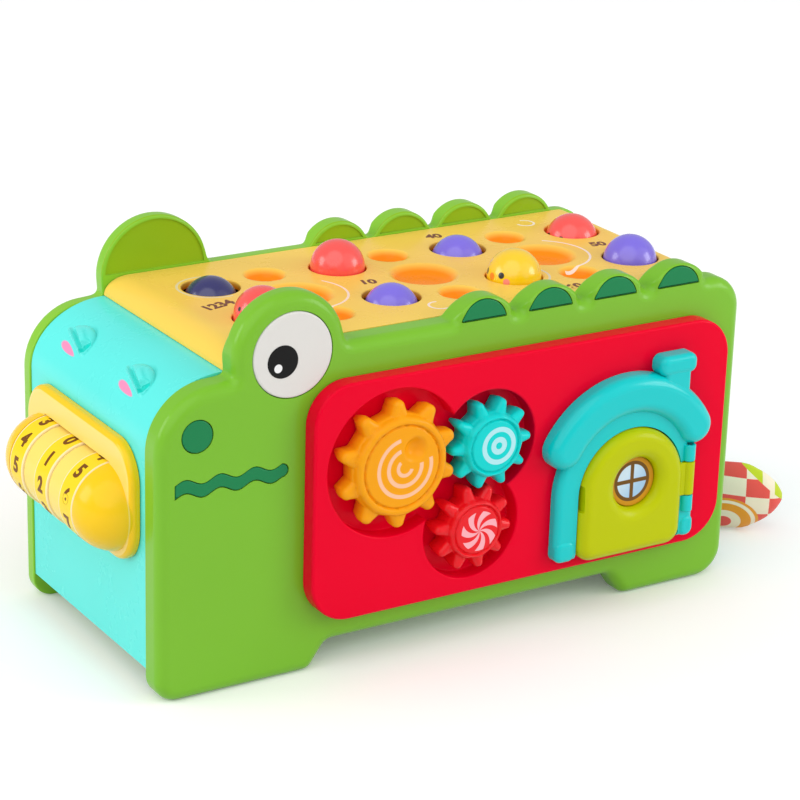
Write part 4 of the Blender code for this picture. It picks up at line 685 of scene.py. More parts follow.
def nose_relief(place, x, y, z):
    """Two nostril cups on the bend: half an ellipse of roof over a slanted ridge, with a hollow beside it."""
    rise = np.zeros_like(x)
    for middle in MARKS:
        across, up = middle - y, place - RISE_AT - 22
        over = up + 0.285 * across
        size = np.hypot((across - 0.5) / CUP[0], up / CUP[1])
        roof = (3.1 + 0.08 * across) * np.sqrt(np.maximum(0, 1 - size ** 2.6)) * bump_at(-over, -2.3, 1.8)
        ridge = 1.9 * bump_at(np.abs(over), 0.6, 2.0) * bump_at(np.abs(across - 0.2), 11.0, 4.6)
        hollow = 2.6 * bump_at(np.hypot((across - 10.2) / 2.5, (up - 0.4) / 3.4), 0.8, 0.6)
        rise = np.maximum(rise, np.maximum(roof - hollow, ridge))
    return rise


def nose_paint(recipe, colour, x, y, z):
    """A printed pink drop below each ridge and a drop of painted shade in each hollow: ellipses turned by
    their tilt.
    Painted shade also darkens the crease above the ridge and the roof's far edge."""
    # The pink drop is print; the teal drop is painted shade in the hollow.
    drops = [(-1.4, 129.1, 7.9, 1.7, -7, "#F793BE"), (9.9, 132.6, 2.6, 1.7, 62, "#17D2C4")]
    for middle in MARKS:
        for offset, height, long, wide, tilt, code in drops:
            a, b = (middle - offset) - y, z - height
            cosine, sine = math.cos(math.radians(tilt)), math.sin(math.radians(tilt))
            along = (a * cosine + b * sine) / long
            taper = (b * cosine - a * sine) / wide / (0.86 - along * 0.30)
            colour = recipe.mix(inside(length(along, taper), 0.95, 0.16) * (x < -135), colour, tint(code))
        # Painted shade in the crease above the ridge and along the roof's far edge.
        a, b = middle - y, (z - 132.1) * 1.6
        size = length((a - 0.5) / CUP[0], b / CUP[1])
        over = b + a * 0.285
        crease = band(over, 1.9, 0.55, 0.9) * band(a, 0.5, 8.5, 2.0)
        shade = band(size, 1.0, 0.045, 0.09) * inside(a * -1, -1.0, 6.0) * (over > 1.0)
        colour = recipe.mix(crease.math("MAXIMUM", shade) * (x < -130) * 0.55, colour, tint("#2CCFC4"))
    return colour


def nose_columns():
    """Places across the nose: wide steps, and steps of 0.35 mm within 15 mm of both marks."""
    fine = [np.arange(middle - 15, middle + 15, 0.35) for middle in MARKS]
    plain = np.linspace(*SHELL_Y, 80)
    plain = plain[np.min(np.abs(plain[:, None] - MARKS), axis=1) > 15.6]
    return np.sort(np.concatenate([plain, *fine]))


dense = (RISE_AT + 10, RISE_AT + 34)
nose = sheet_along("nose_cover", nose_line(), nose_columns(), 2.2, nose_relief, 1.1, dense)
dressed(settled(nose), plastic("cyan nose with print and painted shade", "#60ECE4", paint=nose_paint, gloss=0.14), "nose_shell")

# %% [markdown]
# The deck is a level tray: a soft lip in front, a round edge behind, and bowls that catch the light.
# Eight round holes let the moles through. Their rims are rounded, as on any hole that fingers touch.

# %% Deck
MOLE_X = [NOSE_X + 71.9 + 65.6 * i for i in range(4)]
MOLE_Y = {"near": MIDDLE_Y - 23.8, "far": MIDDLE_Y + 23.8}
BOWL_ROWS = [(-2.4, 16.6), (-32.6, 10.0), (28.9, 10.0)]
BOWLS = [(x + 30.2, MIDDLE_Y + y, r) for x in MOLE_X[:3] for y, r in BOWL_ROWS]


def deck_line():
    """Quarter ellipse for the lip, a level top, and a quarter circle behind, as (x, z)."""
    angle = np.radians(np.linspace(0, 90, 50))
    lip = [NOSE_X + 35 + 12 * (1 - np.cos(angle)), TOP - 8 + 8 * np.sin(angle)]
    return np.vstack([np.column_stack(lip), arc((REAR_X - 7.5, TOP - 7.5), 7.5, 90, 0, 24)])


def deck_relief(place, x, y, z):
    """Each bowl is -depth * (1 + cos(pi * t)) / 2, with t from 0 at its flat floor to 1 at its rim."""
    rise = np.zeros_like(x)
    for bx, by, radius in BOWLS:
        t = np.clip((np.hypot(x - bx, y - by) / radius - 0.40) / 0.60, 0, 1)
        rise = rise - 4.3 * (0.5 + 0.5 * np.cos(math.pi * t ** 1.7))
    return rise


# Each ring is its centre, radius, the direction that it points to, how far it closes, and its colour.
DECK_RINGS = [
    (BOWLS[0][:2], 22.2, (0.80, -0.60), 0.35, "#FFE3D0"),
    (BOWLS[6][:2], 22.6, (0.94, -0.34), 0.25, "#FFE8DC"),
    ((MOLE_X[0], MOLE_Y["far"]), 15.3, (-1.0, 0.0), -0.2, "#EBD9B0"),
    ((MOLE_X[2], MOLE_Y["near"]), 16.4, (1.0, 0.0), -0.2, "#E4D8BC"),
    ((-17.2, -37.5), 5.0, (-0.9, -0.4), -0.6, "#FFE8DC"),
    ((88.0, 50.9), 4.4, (0.7, -0.7), -0.7, "#FFF0E4"),
]


def deck_paint(recipe, colour, x, y, z):
    """Peach in the middle, painted shade of deep orange that grows with the bowls' depth, and thin printed
    rings round some of them.
    A ring is kept only where the direction from its centre points towards a given one."""
    level = band(x, -1.5, 116.5, 4.0)
    middle = inside((y - MIDDLE_Y).math("ABSOLUTE"), 30, 44) * level
    colour = recipe.mix(middle * 0.9, colour, tint("#FACA5A"))
    # Painted shade: the deeper a point of a bowl lies, the more deep orange it gets.
    depth = ((TOP - z) / 2.6).math("MINIMUM", 1.0).math("MAXIMUM", 0.0)
    colour = recipe.mix(depth * level, colour, tint("#FF9010"))
    for centre, radius, towards, share, code in DECK_RINGS:
        dx, dy = x - centre[0], y - centre[1]
        distance = length(dx, dy)
        side = (dx * towards[0] + dy * towards[1]) / distance
        colour = recipe.mix(band(distance, radius, 0.55) * (side > share) * level, colour, tint(code))
    return colour


def mole_hole(x, y):
    """Hole radius + lip - sqrt(lip^2 - (lip - depth)^2): a cylinder flared at the deck's top."""
    radius, lip = 13.3, 0.7
    flare = arc((radius + lip, TOP - lip), lip, 180, 90, 7)
    profile = [(0, TOP - 12), (radius, TOP - 12), *flare, (radius + lip, TOP + 2), (0, TOP + 2)]
    return turned("hole", profile, (x, y, 0), "Z", 96)


DECK = plastic("orange deck with print and painted shade", "#FFD35A", paint=deck_paint)
deck = sheet_along("play_deck", deck_line(), np.linspace(*SHELL_Y, 140), 3.2, deck_relief, 0.8)
carved(deck, merged("holes", [mole_hole(x, y) for x in MOLE_X for y in MOLE_Y.values()]))
dressed(deck, DECK, "deck_plate")

# %% [markdown]
# The moles are balls on skirts, pushed up and down in pairs. Each is one solid turned shape.
# Their faces are printed, so each face is a set of soft masks round points on the ball.

# %% Moles
BALL = 12.6
STEM = 4.0
CORAL, PURPLE, NAVY, CHICK = "#FA514C", "#7C6AE4", "#242466", "#FFD00C"
DARK, BEAK, BLUSH = "#1C1A1A", "#F58A1E", "#FF8F86"


def face_paint(centre, marks):
    """Dots on a ball, each as azimuth, elevation, radius in millimetres and a colour."""

    def paint(recipe, colour, x, y, z):
        for azimuth, elevation, size, code in marks:
            a, e = math.radians(azimuth), math.radians(elevation)
            way = np.array([math.cos(e) * math.cos(a), math.cos(e) * math.sin(a), math.sin(e)])
            spot = way * BALL + centre
            distance = length(x - spot[0], y - spot[1], z - spot[2])
            colour = recipe.mix(inside(distance, size, 0.3), colour, tint(code))
        return colour

    return paint


def mole(side, column, code, marks=()):
    """Ball, skirt, flange and a stem with a round foot: a profile from the top pole to the bottom one."""
    node = f"mole_{side}_{column + 1}"
    low, high = box(node)
    centre = (MOLE_X[column], MOLE_Y[side], high[2] - BALL)
    skirt = centre[2] - 5.8
    flange = [(BALL, skirt + 0.4), (BALL + 0.3, skirt), (BALL + 2.1, skirt)]
    flange += [(BALL + 2.4, skirt - 0.3), (BALL + 2.4, skirt - 1.8), (STEM, skirt - 1.8)]
    foot = arc((0, low[2] + STEM), STEM, 0, -90, 7)
    profile = np.vstack([arc((0, centre[2]), BALL, 90, 0, 39), flange, foot])
    profile[-1, 0] = 0
    ball = turned(f"{node}_ball", profile, (*centre[:2], 0), "Z", 96)
    paint = face_paint(centre, marks) if marks else None
    dressed(settled(ball, 40), plastic(f"{node} gloss", code, 0.26, paint=paint, gloss=0.6), node)


mole("near", 0, CORAL, [(-176, 20, 1.0, DARK), (-158, 14, 1.0, DARK)])
mole("near", 1, PURPLE)
mole("near", 2, CHICK, [(-153, 14, 1.5, DARK), (158, 12, 1.5, DARK), (-178, 7, 1.7, BEAK),
                        (-140, 2, 1.6, BLUSH), (146, 2, 1.6, BLUSH)])
mole("near", 3, PURPLE)
mole("far", 0, NAVY)
mole("far", 1, CORAL)
mole("far", 2, PURPLE)
mole("far", 3, CORAL, [(-150, 14, 1.3, DARK), (170, 14, 1.3, DARK)])

# %% [markdown]
# The red plate is a rounded slab with a neck in the side's opening, and round pockets for the gears.
# Each pocket's lip is a small radius. It is the thin line of light that shows round the gears.

# %% Activity plate
PLATE_LOW = np.array([NOSE_X + 67.4, 25.5])
PLATE_HIGH = PLATE_LOW + [220.1, 109.4]
# Each gear is its centre, its root and tip radius with a tooth's half width at each, and its pocket's radius.
GEARS = {
    "gear_orange": (np.array([-59.0, 94.6]), (23.7, 29.6, 4.4, 3.0), 34.0),
    "gear_cyan": (np.array([-11.313, 95.7]), (15.3, 21.0, 3.1, 2.0), 24.4),
    "gear_red": (np.array([-19.113, 57.386]), (14.4, 20.2, 3.3, 2.4), 24.6),
}
HOUSE_X = (box("house_frame")[0][0] + box("house_frame")[1][0]) / 2
ARCH_Z = 62.5
AHEAD = PLATE_FRONT - 2


def plate_slab(name, side):
    """A slab proud of a side, joined to a narrower neck that enters the side's opening."""
    outer, inward = (NEAR_Y, 1) if side == "near" else (FAR_Y, -1)
    ends, neck_ends = outer - inward * np.array([[0.3, 8.5], [-3.0, 2.0]])
    front = block(name, PLATE_LOW, PLATE_HIGH, 19, "Y", ends, 1.3, 0.3, 6, 3)
    return front, block("neck", PLATE_LOW + 3.3, PLATE_HIGH - 3.3, 15.7, "Y", neck_ends, step=3)


def pocket_cutter(centre, radius):
    """A round cutter with a flared lip at the plate's front and a small round at its floor."""
    lip, foot = 0.9, 0.8
    bottom = arc((radius - foot, NEAR_Y - foot), foot, 90, 0, 5)
    top = arc((radius + lip, PLATE_FRONT + lip), lip, 180, 270, 5)
    profile = [(0, NEAR_Y), *bottom, *top, (radius + lip, AHEAD), (0, AHEAD)]
    return turned("pocket", profile, (centre[0], 0, centre[1]), "Y", 128)


def arch_outline(centre_x, half, bottom, spring, corner=0.0):
    """Two upright sides under half a circle."""
    left, right = centre_x - half, centre_x + half
    low = rounded([(left, spring, 0), (left, bottom, corner), (right, bottom, corner), (right, spring, 0)], 3)
    return np.vstack([arc((centre_x, spring), half, 0, 180, 60), low[1:-1]])


plate, neck = plate_slab("activity_plate", "near")
doorway = slab("doorway", arch_outline(HOUSE_X, 21.5, 40, ARCH_Z, 2), "Y", AHEAD, NEAR_Y, 0.8, steps=6)
carved(plate, *[pocket_cutter(at, radius) for at, _, radius in GEARS.values()], doorway, joined=[neck])
dressed(plate, plastic("red plate", "#F0002C", roughness=0.24, gloss=0.05), "activity_panel")
cover, neck = plate_slab("far_plate", "far")
carved(cover, joined=[neck])
dressed(cover, plastic("far plate orange", "#FFB728"), "far_cover_plate")

# %% [markdown]
# A gear is star-shaped: every point of its outline is seen from its centre.
# So the front is a grid of the outline shrunk towards the centre, and the height of each point is a sum:
# a round of its distance to the outline, a raised ring, a groove, a flat middle and a finger dimple.


# %% Gears
def gear_outline(sizes, phase):
    """Ten teeth of flank and elliptic tip, in polar order round the centre, softened at twenty spots."""
    root, tip, root_half, tip_half = sizes
    cap = tip_half * 0.9
    turn = np.linspace(-math.pi / 2, math.pi / 2, 13)
    flank = math.sqrt(root ** 2 - root_half ** 2)
    out = np.concatenate([[flank], tip - cap + cap * np.cos(turn), [flank]])
    side = np.concatenate([[-root_half], tip_half * np.sin(turn), [root_half]])
    angle = phase + 2 * math.pi * np.arange(10)[:, None] / 10
    a = out * np.cos(angle) - side * np.sin(angle)
    b = out * np.sin(angle) + side * np.cos(angle)
    outline = np.column_stack([a.ravel(), b.ravel()])
    return softened(outline, [outline[16 * k + j] for k in range(10) for j in (0, -1)], 1.3, 0.4)


def distance_to(outline, points):
    """Shortest distance from each point to the closed outline, over all its segments."""
    best = np.full(len(points), 1000.0)
    for start, along in zip(outline, np.roll(outline, -1, axis=0) - outline):
        gap = points - start
        share = np.clip(gap @ along / (along @ along), 0, 1)
        best = np.minimum(best, np.linalg.norm(gap - share[:, None] * along, axis=1))
    return best


def gear_front(name, flat, outline):
    """Depth of each point behind the gear's front: edge round, drum, groove, ring and dimple added up."""
    edge, shoulder, drum = 2.7, 2.0, GEARS[name][1][0] * 0.965
    short = np.maximum(0, edge - distance_to(outline, flat))
    fall = edge - np.sqrt(np.maximum(0, edge ** 2 - short ** 2))
    radius = np.linalg.norm(flat, axis=1)
    over = np.clip((drum - radius) / shoulder, 0, 1)
    rise = 2.4 * np.sqrt(1 - (1 - over) ** 2)
    inner = drum * 0.83
    groove = 1.1 * bump_at(np.abs(radius - inner), 0.45, 0.9)
    ring = 0.45 * (1 - bump_at(radius, inner, 1.2))
    depth = fall - np.where(over > 0, rise - 0.45 + ring, 0) + groove
    if name == "gear_orange":
        reach = np.linalg.norm(flat - arc((0, 0), drum * 0.42, 50, 50, 0), axis=1) / 6.4
        depth = depth + 3.4 * (0.5 + 0.5 * np.cos(math.pi * np.clip(reach, 0, 1) ** 1.4))
    return np.minimum(depth, 9)


def gear(name, phase, material):
    """Front depths over the outline's shrunk copies; the back is flat with a small round; a shaft behind."""
    centre, sizes, _ = GEARS[name]
    outline = gear_outline(sizes, phase)
    back, front = NEAR_Y - 0.6, NEAR_Y - 12
    shares = 1 - np.linspace(0.99, 0, 56) ** 1.6
    flat = (outline[None] * shares[:, None, None]).reshape(-1, 2)
    top = in_space(flat, front + gear_front(name, flat, outline), "Y")
    rear = [(0.0, 5.5), (0.3 * sizes[3], 2.2), (0.55 * sizes[3], 0.0)]
    rows = [top] + [in_space(inset(outline, margin), back - level, "Y") for margin, level in rear]
    wheel = mesh_of("wheel", np.vstack(rows) + [centre[0], 0, centre[1]], tube(len(shares) + 3, len(outline)))
    shaft = [(0, back - 2), (4, back - 2), (4, NEAR_Y + 5), (0, NEAR_Y + 5)]
    axle = turned("axle", shaft, (centre[0], 0, centre[1]), "Y", 32)
    whole = merged(name + "_wheel", [settled(wheel, 50), settled(axle)])
    whole.data.set_sharp_from_angle(angle=math.radians(50))
    dressed(whole, material, name)


PRINT_Y = NEAR_Y - 11.5


def ring_print(centre, rings, code, opening=None):
    """Concentric rings round a point, as (radius, half width, share); an opening leaves out a wedge."""

    def paint(recipe, colour, x, y, z):
        dx, dz = x - centre[0], z - centre[1]
        distance = length(dx, dz)
        for radius, half, share in rings:
            mask = band(distance, radius, half) * (y < PRINT_Y)
            if opening:
                mask = mask * ((dx * opening[0] + dz * opening[1]) / distance < share)
            colour = recipe.mix(mask, colour, tint(code))
        return colour

    return paint


def blade_print(centre, code):
    """Seven curved blades: sin(7 * (angle + twist * distance)) under zero, inside a disc."""

    def paint(recipe, colour, x, y, z):
        dx, dz = x - centre[0], z - centre[1]
        distance = length(dx, dz)
        wave = ((dz.math("ARCTAN2", dx) + distance * 0.095) * 7.0).math("SINE")
        mask = inside(wave * -1.0, 0.12, 0.10) * inside(distance, 9.3) * (y < PRINT_Y)
        return recipe.mix(mask, colour, tint(code))

    return paint


def heading(first, second):
    """The angle of the line from one gear's centre to another's."""
    way = places[second] - places[first]
    return math.atan2(way[1], way[0])


places = {name: row[0] for name, row in GEARS.items()}
to_cyan, to_red = heading("gear_orange", "gear_cyan"), heading("gear_cyan", "gear_red")
pitch = math.radians(36)
red_phase = to_red + math.pi - (to_cyan + math.pi - to_red) % pitch + pitch / 2
arcs = [(13.2, 0.9, 0.72), (8.3, 0.95, 0.66), (3.5, 0.85, 0.3)]
orange_paint = ring_print(places["gear_orange"] + [1.2, -0.5], arcs, "#FFC7A0", (0.545, 0.84))
cyan_paint = ring_print(places["gear_cyan"] + [1.8, 0], [(7.6, 1.15, 2), (2.85, 1.25, 2)], "#B4ECF2")
red_paint = blade_print(places["gear_red"] + [1.0, -0.6], "#FFB3BC")
gear("gear_orange", to_cyan + pitch / 2, plastic("gear orange gloss", "#FBA612", 0.22, paint=orange_paint))
cyan_look = plastic("gear cyan gloss", "#04D8D4", 0.22, paint=cyan_paint, gloss=0.14)
gear("gear_cyan", to_cyan + math.pi, cyan_look)
gear("gear_red", red_phase, plastic("gear red gloss", "#F01420", 0.22, paint=red_paint, gloss=0.2))

# %% [markdown]
# The house is a frame of three slabs: two posts under an arch, a thicker roof band, and a chimney.
# They are joined as solids, so that the roof's soft roll runs into the posts without a gap.

# %% House frame
WALL_FRONT, ROOF_FRONT, HOUSE_BACK = PLATE_FRONT - 6, PLATE_FRONT - 10, PLATE_FRONT - 0.3
ROOF_AT = np.array([HOUSE_X, 66.0])
HOUSE_FOOT = box("house_frame")[0][2]
DOOR_X = HOUSE_X + 1.4
HINGE = sum(box("door_hinge_pin"))[:2] / 2
KNUCKLE = (53.3, 69.4)
BEHIND = PLATE_FRONT + 2


def roof_outline(outer=50.6, thick=18.0):
    """An arched band between two radii with round ends, 30 degrees short of level on both sides."""
    right, left = arc(ROOF_AT, outer - thick / 2, 30, 150, 1)
    points = [arc(ROOF_AT, outer, 30, 150, 60), arc(left, thick / 2, 150, 330, 30)[1:-1]]
    points += [arc(ROOF_AT, outer - thick, 150, 30, 50), arc(right, thick / 2, -150, 30, 30)[1:-1]]
    return even(np.vstack(points), 0.8)


def rod(radius, low, high, edge=0.4):
    """An upright round rod with softened ends, on the door's hinge line."""
    profile = [(0, low), (radius - edge, low), (radius, low + edge)]
    profile += [(radius, high - edge), (radius - edge, high), (0, high)]
    return turned("rod", profile, (*HINGE, 0), "Z", 40)


walls = arch_outline(HOUSE_X, 38.9, HOUSE_FOOT, ARCH_Z, 7)
house = slab("house_walls", walls, "Y", HOUSE_BACK, WALL_FRONT, 3.2, 0.2, 8)
parts = [slab("roof", roof_outline(), "Y", HOUSE_BACK, ROOF_FRONT, 5.6, 0.2, 12)]
chimney = HOUSE_X + 24
# Each block is its left, right, bottom, top, corner radius, front and rim.
for left, right, bottom, top, corner, front, rim in (
    (chimney - 7.2, chimney + 7.2, 95, 118, 2.6, PLATE_FRONT - 8, 2.2),
    (chimney - 10.3, chimney + 10.3, 113.5, 123, 3.9, PLATE_FRONT - 8.5, 3.0),
    (HOUSE_X - 38.9, DOOR_X - 29.2, HOUSE_FOOT, HOUSE_FOOT + 10.5, 3.8, WALL_FRONT - 0.9, 2.6),
    (DOOR_X + 29.2, HOUSE_X + 38.9, HOUSE_FOOT, HOUSE_FOOT + 10.5, 3.8, WALL_FRONT - 0.9, 2.6),
):
    parts.append(block("stack", (left, bottom), (right, top), corner, "Y", (HOUSE_BACK, front), rim, steps=6))
opening = slab("door_opening", arch_outline(DOOR_X, 29.1, 20, ARCH_Z), "Y", ROOF_FRONT - 2, BEHIND)
carved(house, opening, joined=parts)
lugs = [rod(3, KNUCKLE[0] - 8.4, KNUCKLE[0] - 0.4), rod(3, KNUCKLE[1] + 0.4, KNUCKLE[1] + 8.4)]
notch_low, notch_high = (HINGE[0] - 4.0, KNUCKLE[0] - 0.4), (HINGE[0] + 3.5, KNUCKLE[1] + 0.4)
notch = block("notch", notch_low, notch_high, 0.5, "Y", (HINGE[1] - 7, BEHIND))
carved(house, notch, rod(1.7, KNUCKLE[0] - 7, KNUCKLE[1] + 12), joined=lugs)
dressed(house, plastic("house cyan", "#06CCCC", roughness=0.2, gloss=0.22), "house_frame")

# %% [markdown]
# The door is a rounded arch with a dish for a finger round its window, and a knuckle for the hinge pin.
# The window's picture is a plain cross in a ring, painted by masks of the distances from its centre.

# %% Door and window
DOOR_FRONT = PLATE_FRONT - 9.8
DOOR_BACK = PLATE_FRONT - 2
WINDOW = np.array([DOOR_X + 1.8, 64.5])
DOOR_HALF = 28.6
GRIP_Z = 61.8


def window_paint(recipe, colour, x, y, z):
    """Blue panes inside a brown ring, with a brown cross over them."""
    dx, dz = x - (WINDOW[0] - 0.6), z - (WINDOW[1] + 0.4)
    distance = length(dx, dz)
    colour = recipe.mix(inside(distance, 9.8), colour, tint("#74501E"))
    panes = inside(distance, 8.1) * (1 - band(dx, 0.0, 1.0)) * (1 - band(dz, 0.0, 1.0))
    sky = recipe.mix(((dz - dx) / 14 + 0.5).math("MAXIMUM", 0.0), tint("#A8CDEC"), tint("#D2E8F8"))
    return recipe.mix(panes, colour, sky)


shape = arch_outline(DOOR_X, DOOR_HALF, 30.4, ARCH_Z, 8)
door = slab("lime_door", shape, "Y", DOOR_BACK, DOOR_FRONT, 5.2, 0.3, 10)
arm_ends = (HINGE[1] + 1.5, HINGE[1] - 1.5)
arm = block("arm", (DOOR_X + 24, KNUCKLE[0]), (HINGE[0], KNUCKLE[1]), 0.6, "Y", arm_ends, 0.2)
dish = arc((0, 0), 1.0, 180, 270, 13) * [6.0, 4.4] + [18.2, DOOR_FRONT + 4.4]
profile = [(0, DOOR_BACK - 1), (12.2, DOOR_BACK - 1), *dish, (18.2, DOOR_FRONT - 1), (0, DOOR_FRONT - 1)]
porthole = turned("porthole", profile, (WINDOW[0], 0, WINDOW[1]), "Y", 128)
left = DOOR_X - DOOR_HALF
grip_ends = (DOOR_FRONT - 2, DOOR_BACK + 2)
grip = block("grip", (left - 2, GRIP_Z - 6.4), (left + 1.6, GRIP_Z + 6.4), 0.8, "Y", grip_ends)
pin_bore = rod(1.7, KNUCKLE[0] - 1, KNUCKLE[1] + 1)
carved(door, porthole, grip, pin_bore, joined=[arm, rod(3, *KNUCKLE)])
dressed(door, plastic("lime door gloss", "#BFC800", roughness=0.24), "house_door")

window_low, window_high = box("door_window")
dome = arc((11.4, window_low[1] + 0.6), 0.6, 0, -90, 5)
profile = [(0, window_high[1]), (12.0, window_high[1]), *dome, (0, window_low[1])]
window = turned("round_window", profile, (WINDOW[0], 0, WINDOW[1]), "Y", 96)
dressed(settled(window), plastic("window print", "#D0921A", roughness=0.3, paint=window_paint), "door_window")

# %% [markdown]
# The number roller: a plate with two half domes, three turning rings between them and two fixed spacers.
# The digits are meshes cut into thin strips and wrapped round the ring, so they stay sharp from any side.

# %% Roller plate and rings
BARREL = (NOSE_X - 3.8, 80.0)
RING = 19.8


def bezel_paint(recipe, colour, x, y, z):
    """A painted highlight: the flat front of the plate is paler than its rim and its domes."""
    return recipe.mix(band(x, NOSE_X - 6.2, 0.25) * (z < 112.5), colour, tint("#FFDF74"))


def ring_paint(low, high):
    """A pale line at both edges of a ring."""

    def paint(recipe, colour, x, y, z):
        edge = band(y, low, 1.0) + band(y, high, 1.0)
        return recipe.mix(edge, colour, tint("#FFEAB4"))

    return paint


def ring(node, radius, code, print_edges):
    """A tube with rounded edges: outer wall, two shoulders and the axle's bore."""
    low, high = [corner[1] for corner in box(node)]
    edge, bore, steps = 0.5, 3.3, 120
    first = arc((radius - edge, low + edge), edge, -90, 0, 4)
    loop = np.vstack([[bore, low], first, arc((radius - edge, high - edge), edge, 0, 90, 4), [bore, high]])
    turn = np.linspace(0, 2 * math.pi, steps, endpoint=False)
    out, along = loop.T[:, :, None]
    grid = np.broadcast_arrays(BARREL[0] + out * np.cos(turn), along, BARREL[1] + out * np.sin(turn))
    faces = quads(len(loop) + 1, steps) % (len(loop) * steps)
    body = mesh_of(node + "_band", np.stack(grid, axis=-1).reshape(-1, 3), [faces])
    paint = ring_paint(low, high) if print_edges else None
    dressed(settled(body, 40), plastic(node + " gloss", code, roughness=0.24, paint=paint), node)


ends = (NOSE_FACE - 0.3, NOSE_X - 6.2)
bezel = block("roller_plate", (MIDDLE_Y - 52, 57), (MIDDLE_Y + 52, 112), 17.5, "X", ends, 2.9, 0.2, 8, 3)
profile = arc((0, 0), RING, -90, 90, 48)
profile[[0, -1], 0] = 0
dome_spots = [(BARREL[0], MIDDLE_Y + y, BARREL[1]) for y in (-32, 32)]
carved(bezel, joined=[turned("dome", profile, spot, "Y", 96) for spot in dome_spots])
room_low, room_high = (BARREL[0] - 40, BARREL[1] - 20.3), (BARREL[0] + 40, BARREL[1] + 20.3)
room = block("room", room_low, room_high, 0.5, "Y", (MIDDLE_Y - 32.3, MIDDLE_Y + 32.3))
behind_ends = (NOSE_FACE + 30, NOSE_FACE - 0.3)
carved(bezel, room, block("behind", (MIDDLE_Y - 80, 40), (MIDDLE_Y + 80, 120), 1, "X", behind_ends))
# The plate's paler flat front is a painted highlight.
bezel_look = plastic("roller plate yellow with painted highlight", "#FCCC10", roughness=0.24, paint=bezel_paint, gloss=0.2)
dressed(bezel, bezel_look, "roller_bezel")
for index in (1, 2, 3):
    ring(f"number_ring_{index}", RING, "#FFDA22", True)
for index in (1, 2):
    ring(f"ring_spacer_{index}", RING - 0.7, "#FFE070", False)

# %% [markdown]
# Digits go round the rings, and plain numbers are printed on the deck beside the moles.


# %% Digits and deck numbers
def digit_points(number, size):
    """Points and corners of a number's outline as a thin solid, cut into strips one millimetre high."""
    curve = bpy.data.curves.new("digit", "FONT")
    curve.body = str(number)
    curve.size = size * MM
    curve.align_x = "CENTER"
    curve.align_y = "CENTER"
    curve.offset = size * MM * 0.042
    curve.extrude = 0.05 * MM
    holder = bpy.data.objects.new("digit", curve)
    mesh = bpy.data.meshes.new_from_object(holder)
    bpy.data.objects.remove(holder)
    work = bmesh.new()
    work.from_mesh(mesh)
    bmesh.ops.remove_doubles(work, verts=work.verts, dist=1e-6)
    for level in np.arange(-size, size, 1.0) * MM:
        parts = work.verts[:] + work.edges[:] + work.faces[:]
        bmesh.ops.bisect_plane(work, geom=parts, plane_co=(0, level, 0), plane_no=(0, 1, 0))
    bmesh.ops.triangulate(work, faces=work.faces)
    work.to_mesh(mesh)
    work.free()
    points, corners, _ = arrays_of(mesh)
    bpy.data.meshes.remove(mesh)
    return points / MM, corners.reshape(-1, 3)


def ring_digit(number, middle, start):
    """A digit on a ring: (across, up, out) becomes an angle up / radius and a radius + out."""
    flat, faces = digit_points(number, 9.6)
    turn = math.pi - math.radians(start - 36 * number) - flat[:, 1] / RING
    radius = RING + 0.06 + flat[:, 2]
    points = [BARREL[0] + radius * np.cos(turn), middle - flat[:, 0], BARREL[1] + radius * np.sin(turn)]
    return mesh_of("digit", np.column_stack(points), [faces])


def deck_number(number, a, b, turn, size):
    """Points turned by an angle, moved to a place and laid on the deck."""
    flat, faces = digit_points(number, size)
    cosine, sine = math.cos(math.radians(turn)), math.sin(math.radians(turn))
    along = a + flat[:, 0] * cosine - flat[:, 1] * sine
    across = b + flat[:, 0] * sine + flat[:, 1] * cosine
    return mesh_of("number", np.column_stack([along, across, TOP + 0.02 + flat[:, 2]]), [faces])


def printed(name, pieces, material, body):
    """Numbers joined into one flat-shaded piece that rides on a body."""
    piece = merged(name, pieces)
    piece.data.shade_flat()
    piece.data.materials.append(material)
    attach(piece, body)
    print(piece.name, len(piece.data.polygons))


INK = plastic("brown ink", "#7A4A12", roughness=0.4, wave=0.02)
for index, start in ((1, 230.0), (2, 75.0), (3, 184.0)):
    middle = sum(box(f"number_ring_{index}"))[1] / 2
    printed(f"ring_{index}_digits", [ring_digit(n, middle, start) for n in range(10)], INK, f"ring_{index}")
# Each number is its value, its place on the deck, its turn in degrees and its size.
NUMBERS = [(10, -28.6, 5.1, -12, 8), (40, 36.1, 52.0, -8, 8), (50, 99.8, 6.4, -10, 8)]
NUMBERS += [(60, 52.3, -42.1, 0, 8), (1234, -104.6, 6.0, 14, 8.5)]
deck_ink = plastic("deck ink", "#7A4632", roughness=0.4)
printed("deck_numbers", [deck_number(*row) for row in NUMBERS], deck_ink, BODY_OF["deck_plate"])

# %% [markdown]
# The tail is the one soft part: a padded tag of printed cloth, flat at its edge, held by a button in the box.
# It starts as a thin lofted pillow, is remeshed, and is blown up a little by a cloth simulation.
# The pattern is a common patchwork of checks, stripes and rings, computed from the cloth's own coordinates.

# %% Tail
KNOTS = [0, 0.1, 0.25, 0.42, 0.6, 0.76, 0.89, 0.965, 1]
TALL = [24, 27.4, 31.7, 34.9, 36, 35, 23.6, 12.8, 1]
THICK = [2.4, 8.2, 11.5, 13, 13.4, 12.8, 10.5, 6.5, 0.6]


def tail_rows():
    """Middle line, half height and half thickness along the tail, from its root to its tip, smoothed."""
    share = np.linspace(0, 1, 60)
    side = np.interp(share, [0, 0.25, 0.42, 0.6, 0.76, 0.89, 1], [0, 0.2, 0.4, 0.6, 0.78, 0.91, 1])
    settle = np.interp(share, [0, 0.1, 0.25, 0.42, 0.6, 1], [0, 0.25, 0.55, 0.85, 1, 1])
    rows = [REAR_X + 67.3 * share, MIDDLE_Y - 43.5 * side, 30 - 11.4 * settle]
    rows += [np.interp(share, KNOTS, TALL) / 2, np.interp(share, KNOTS, THICK) / 2]
    smooth = np.hanning(9) / np.hanning(9).sum()
    return [np.convolve(np.pad(row, 4, "edge"), smooth, "valid") for row in rows]


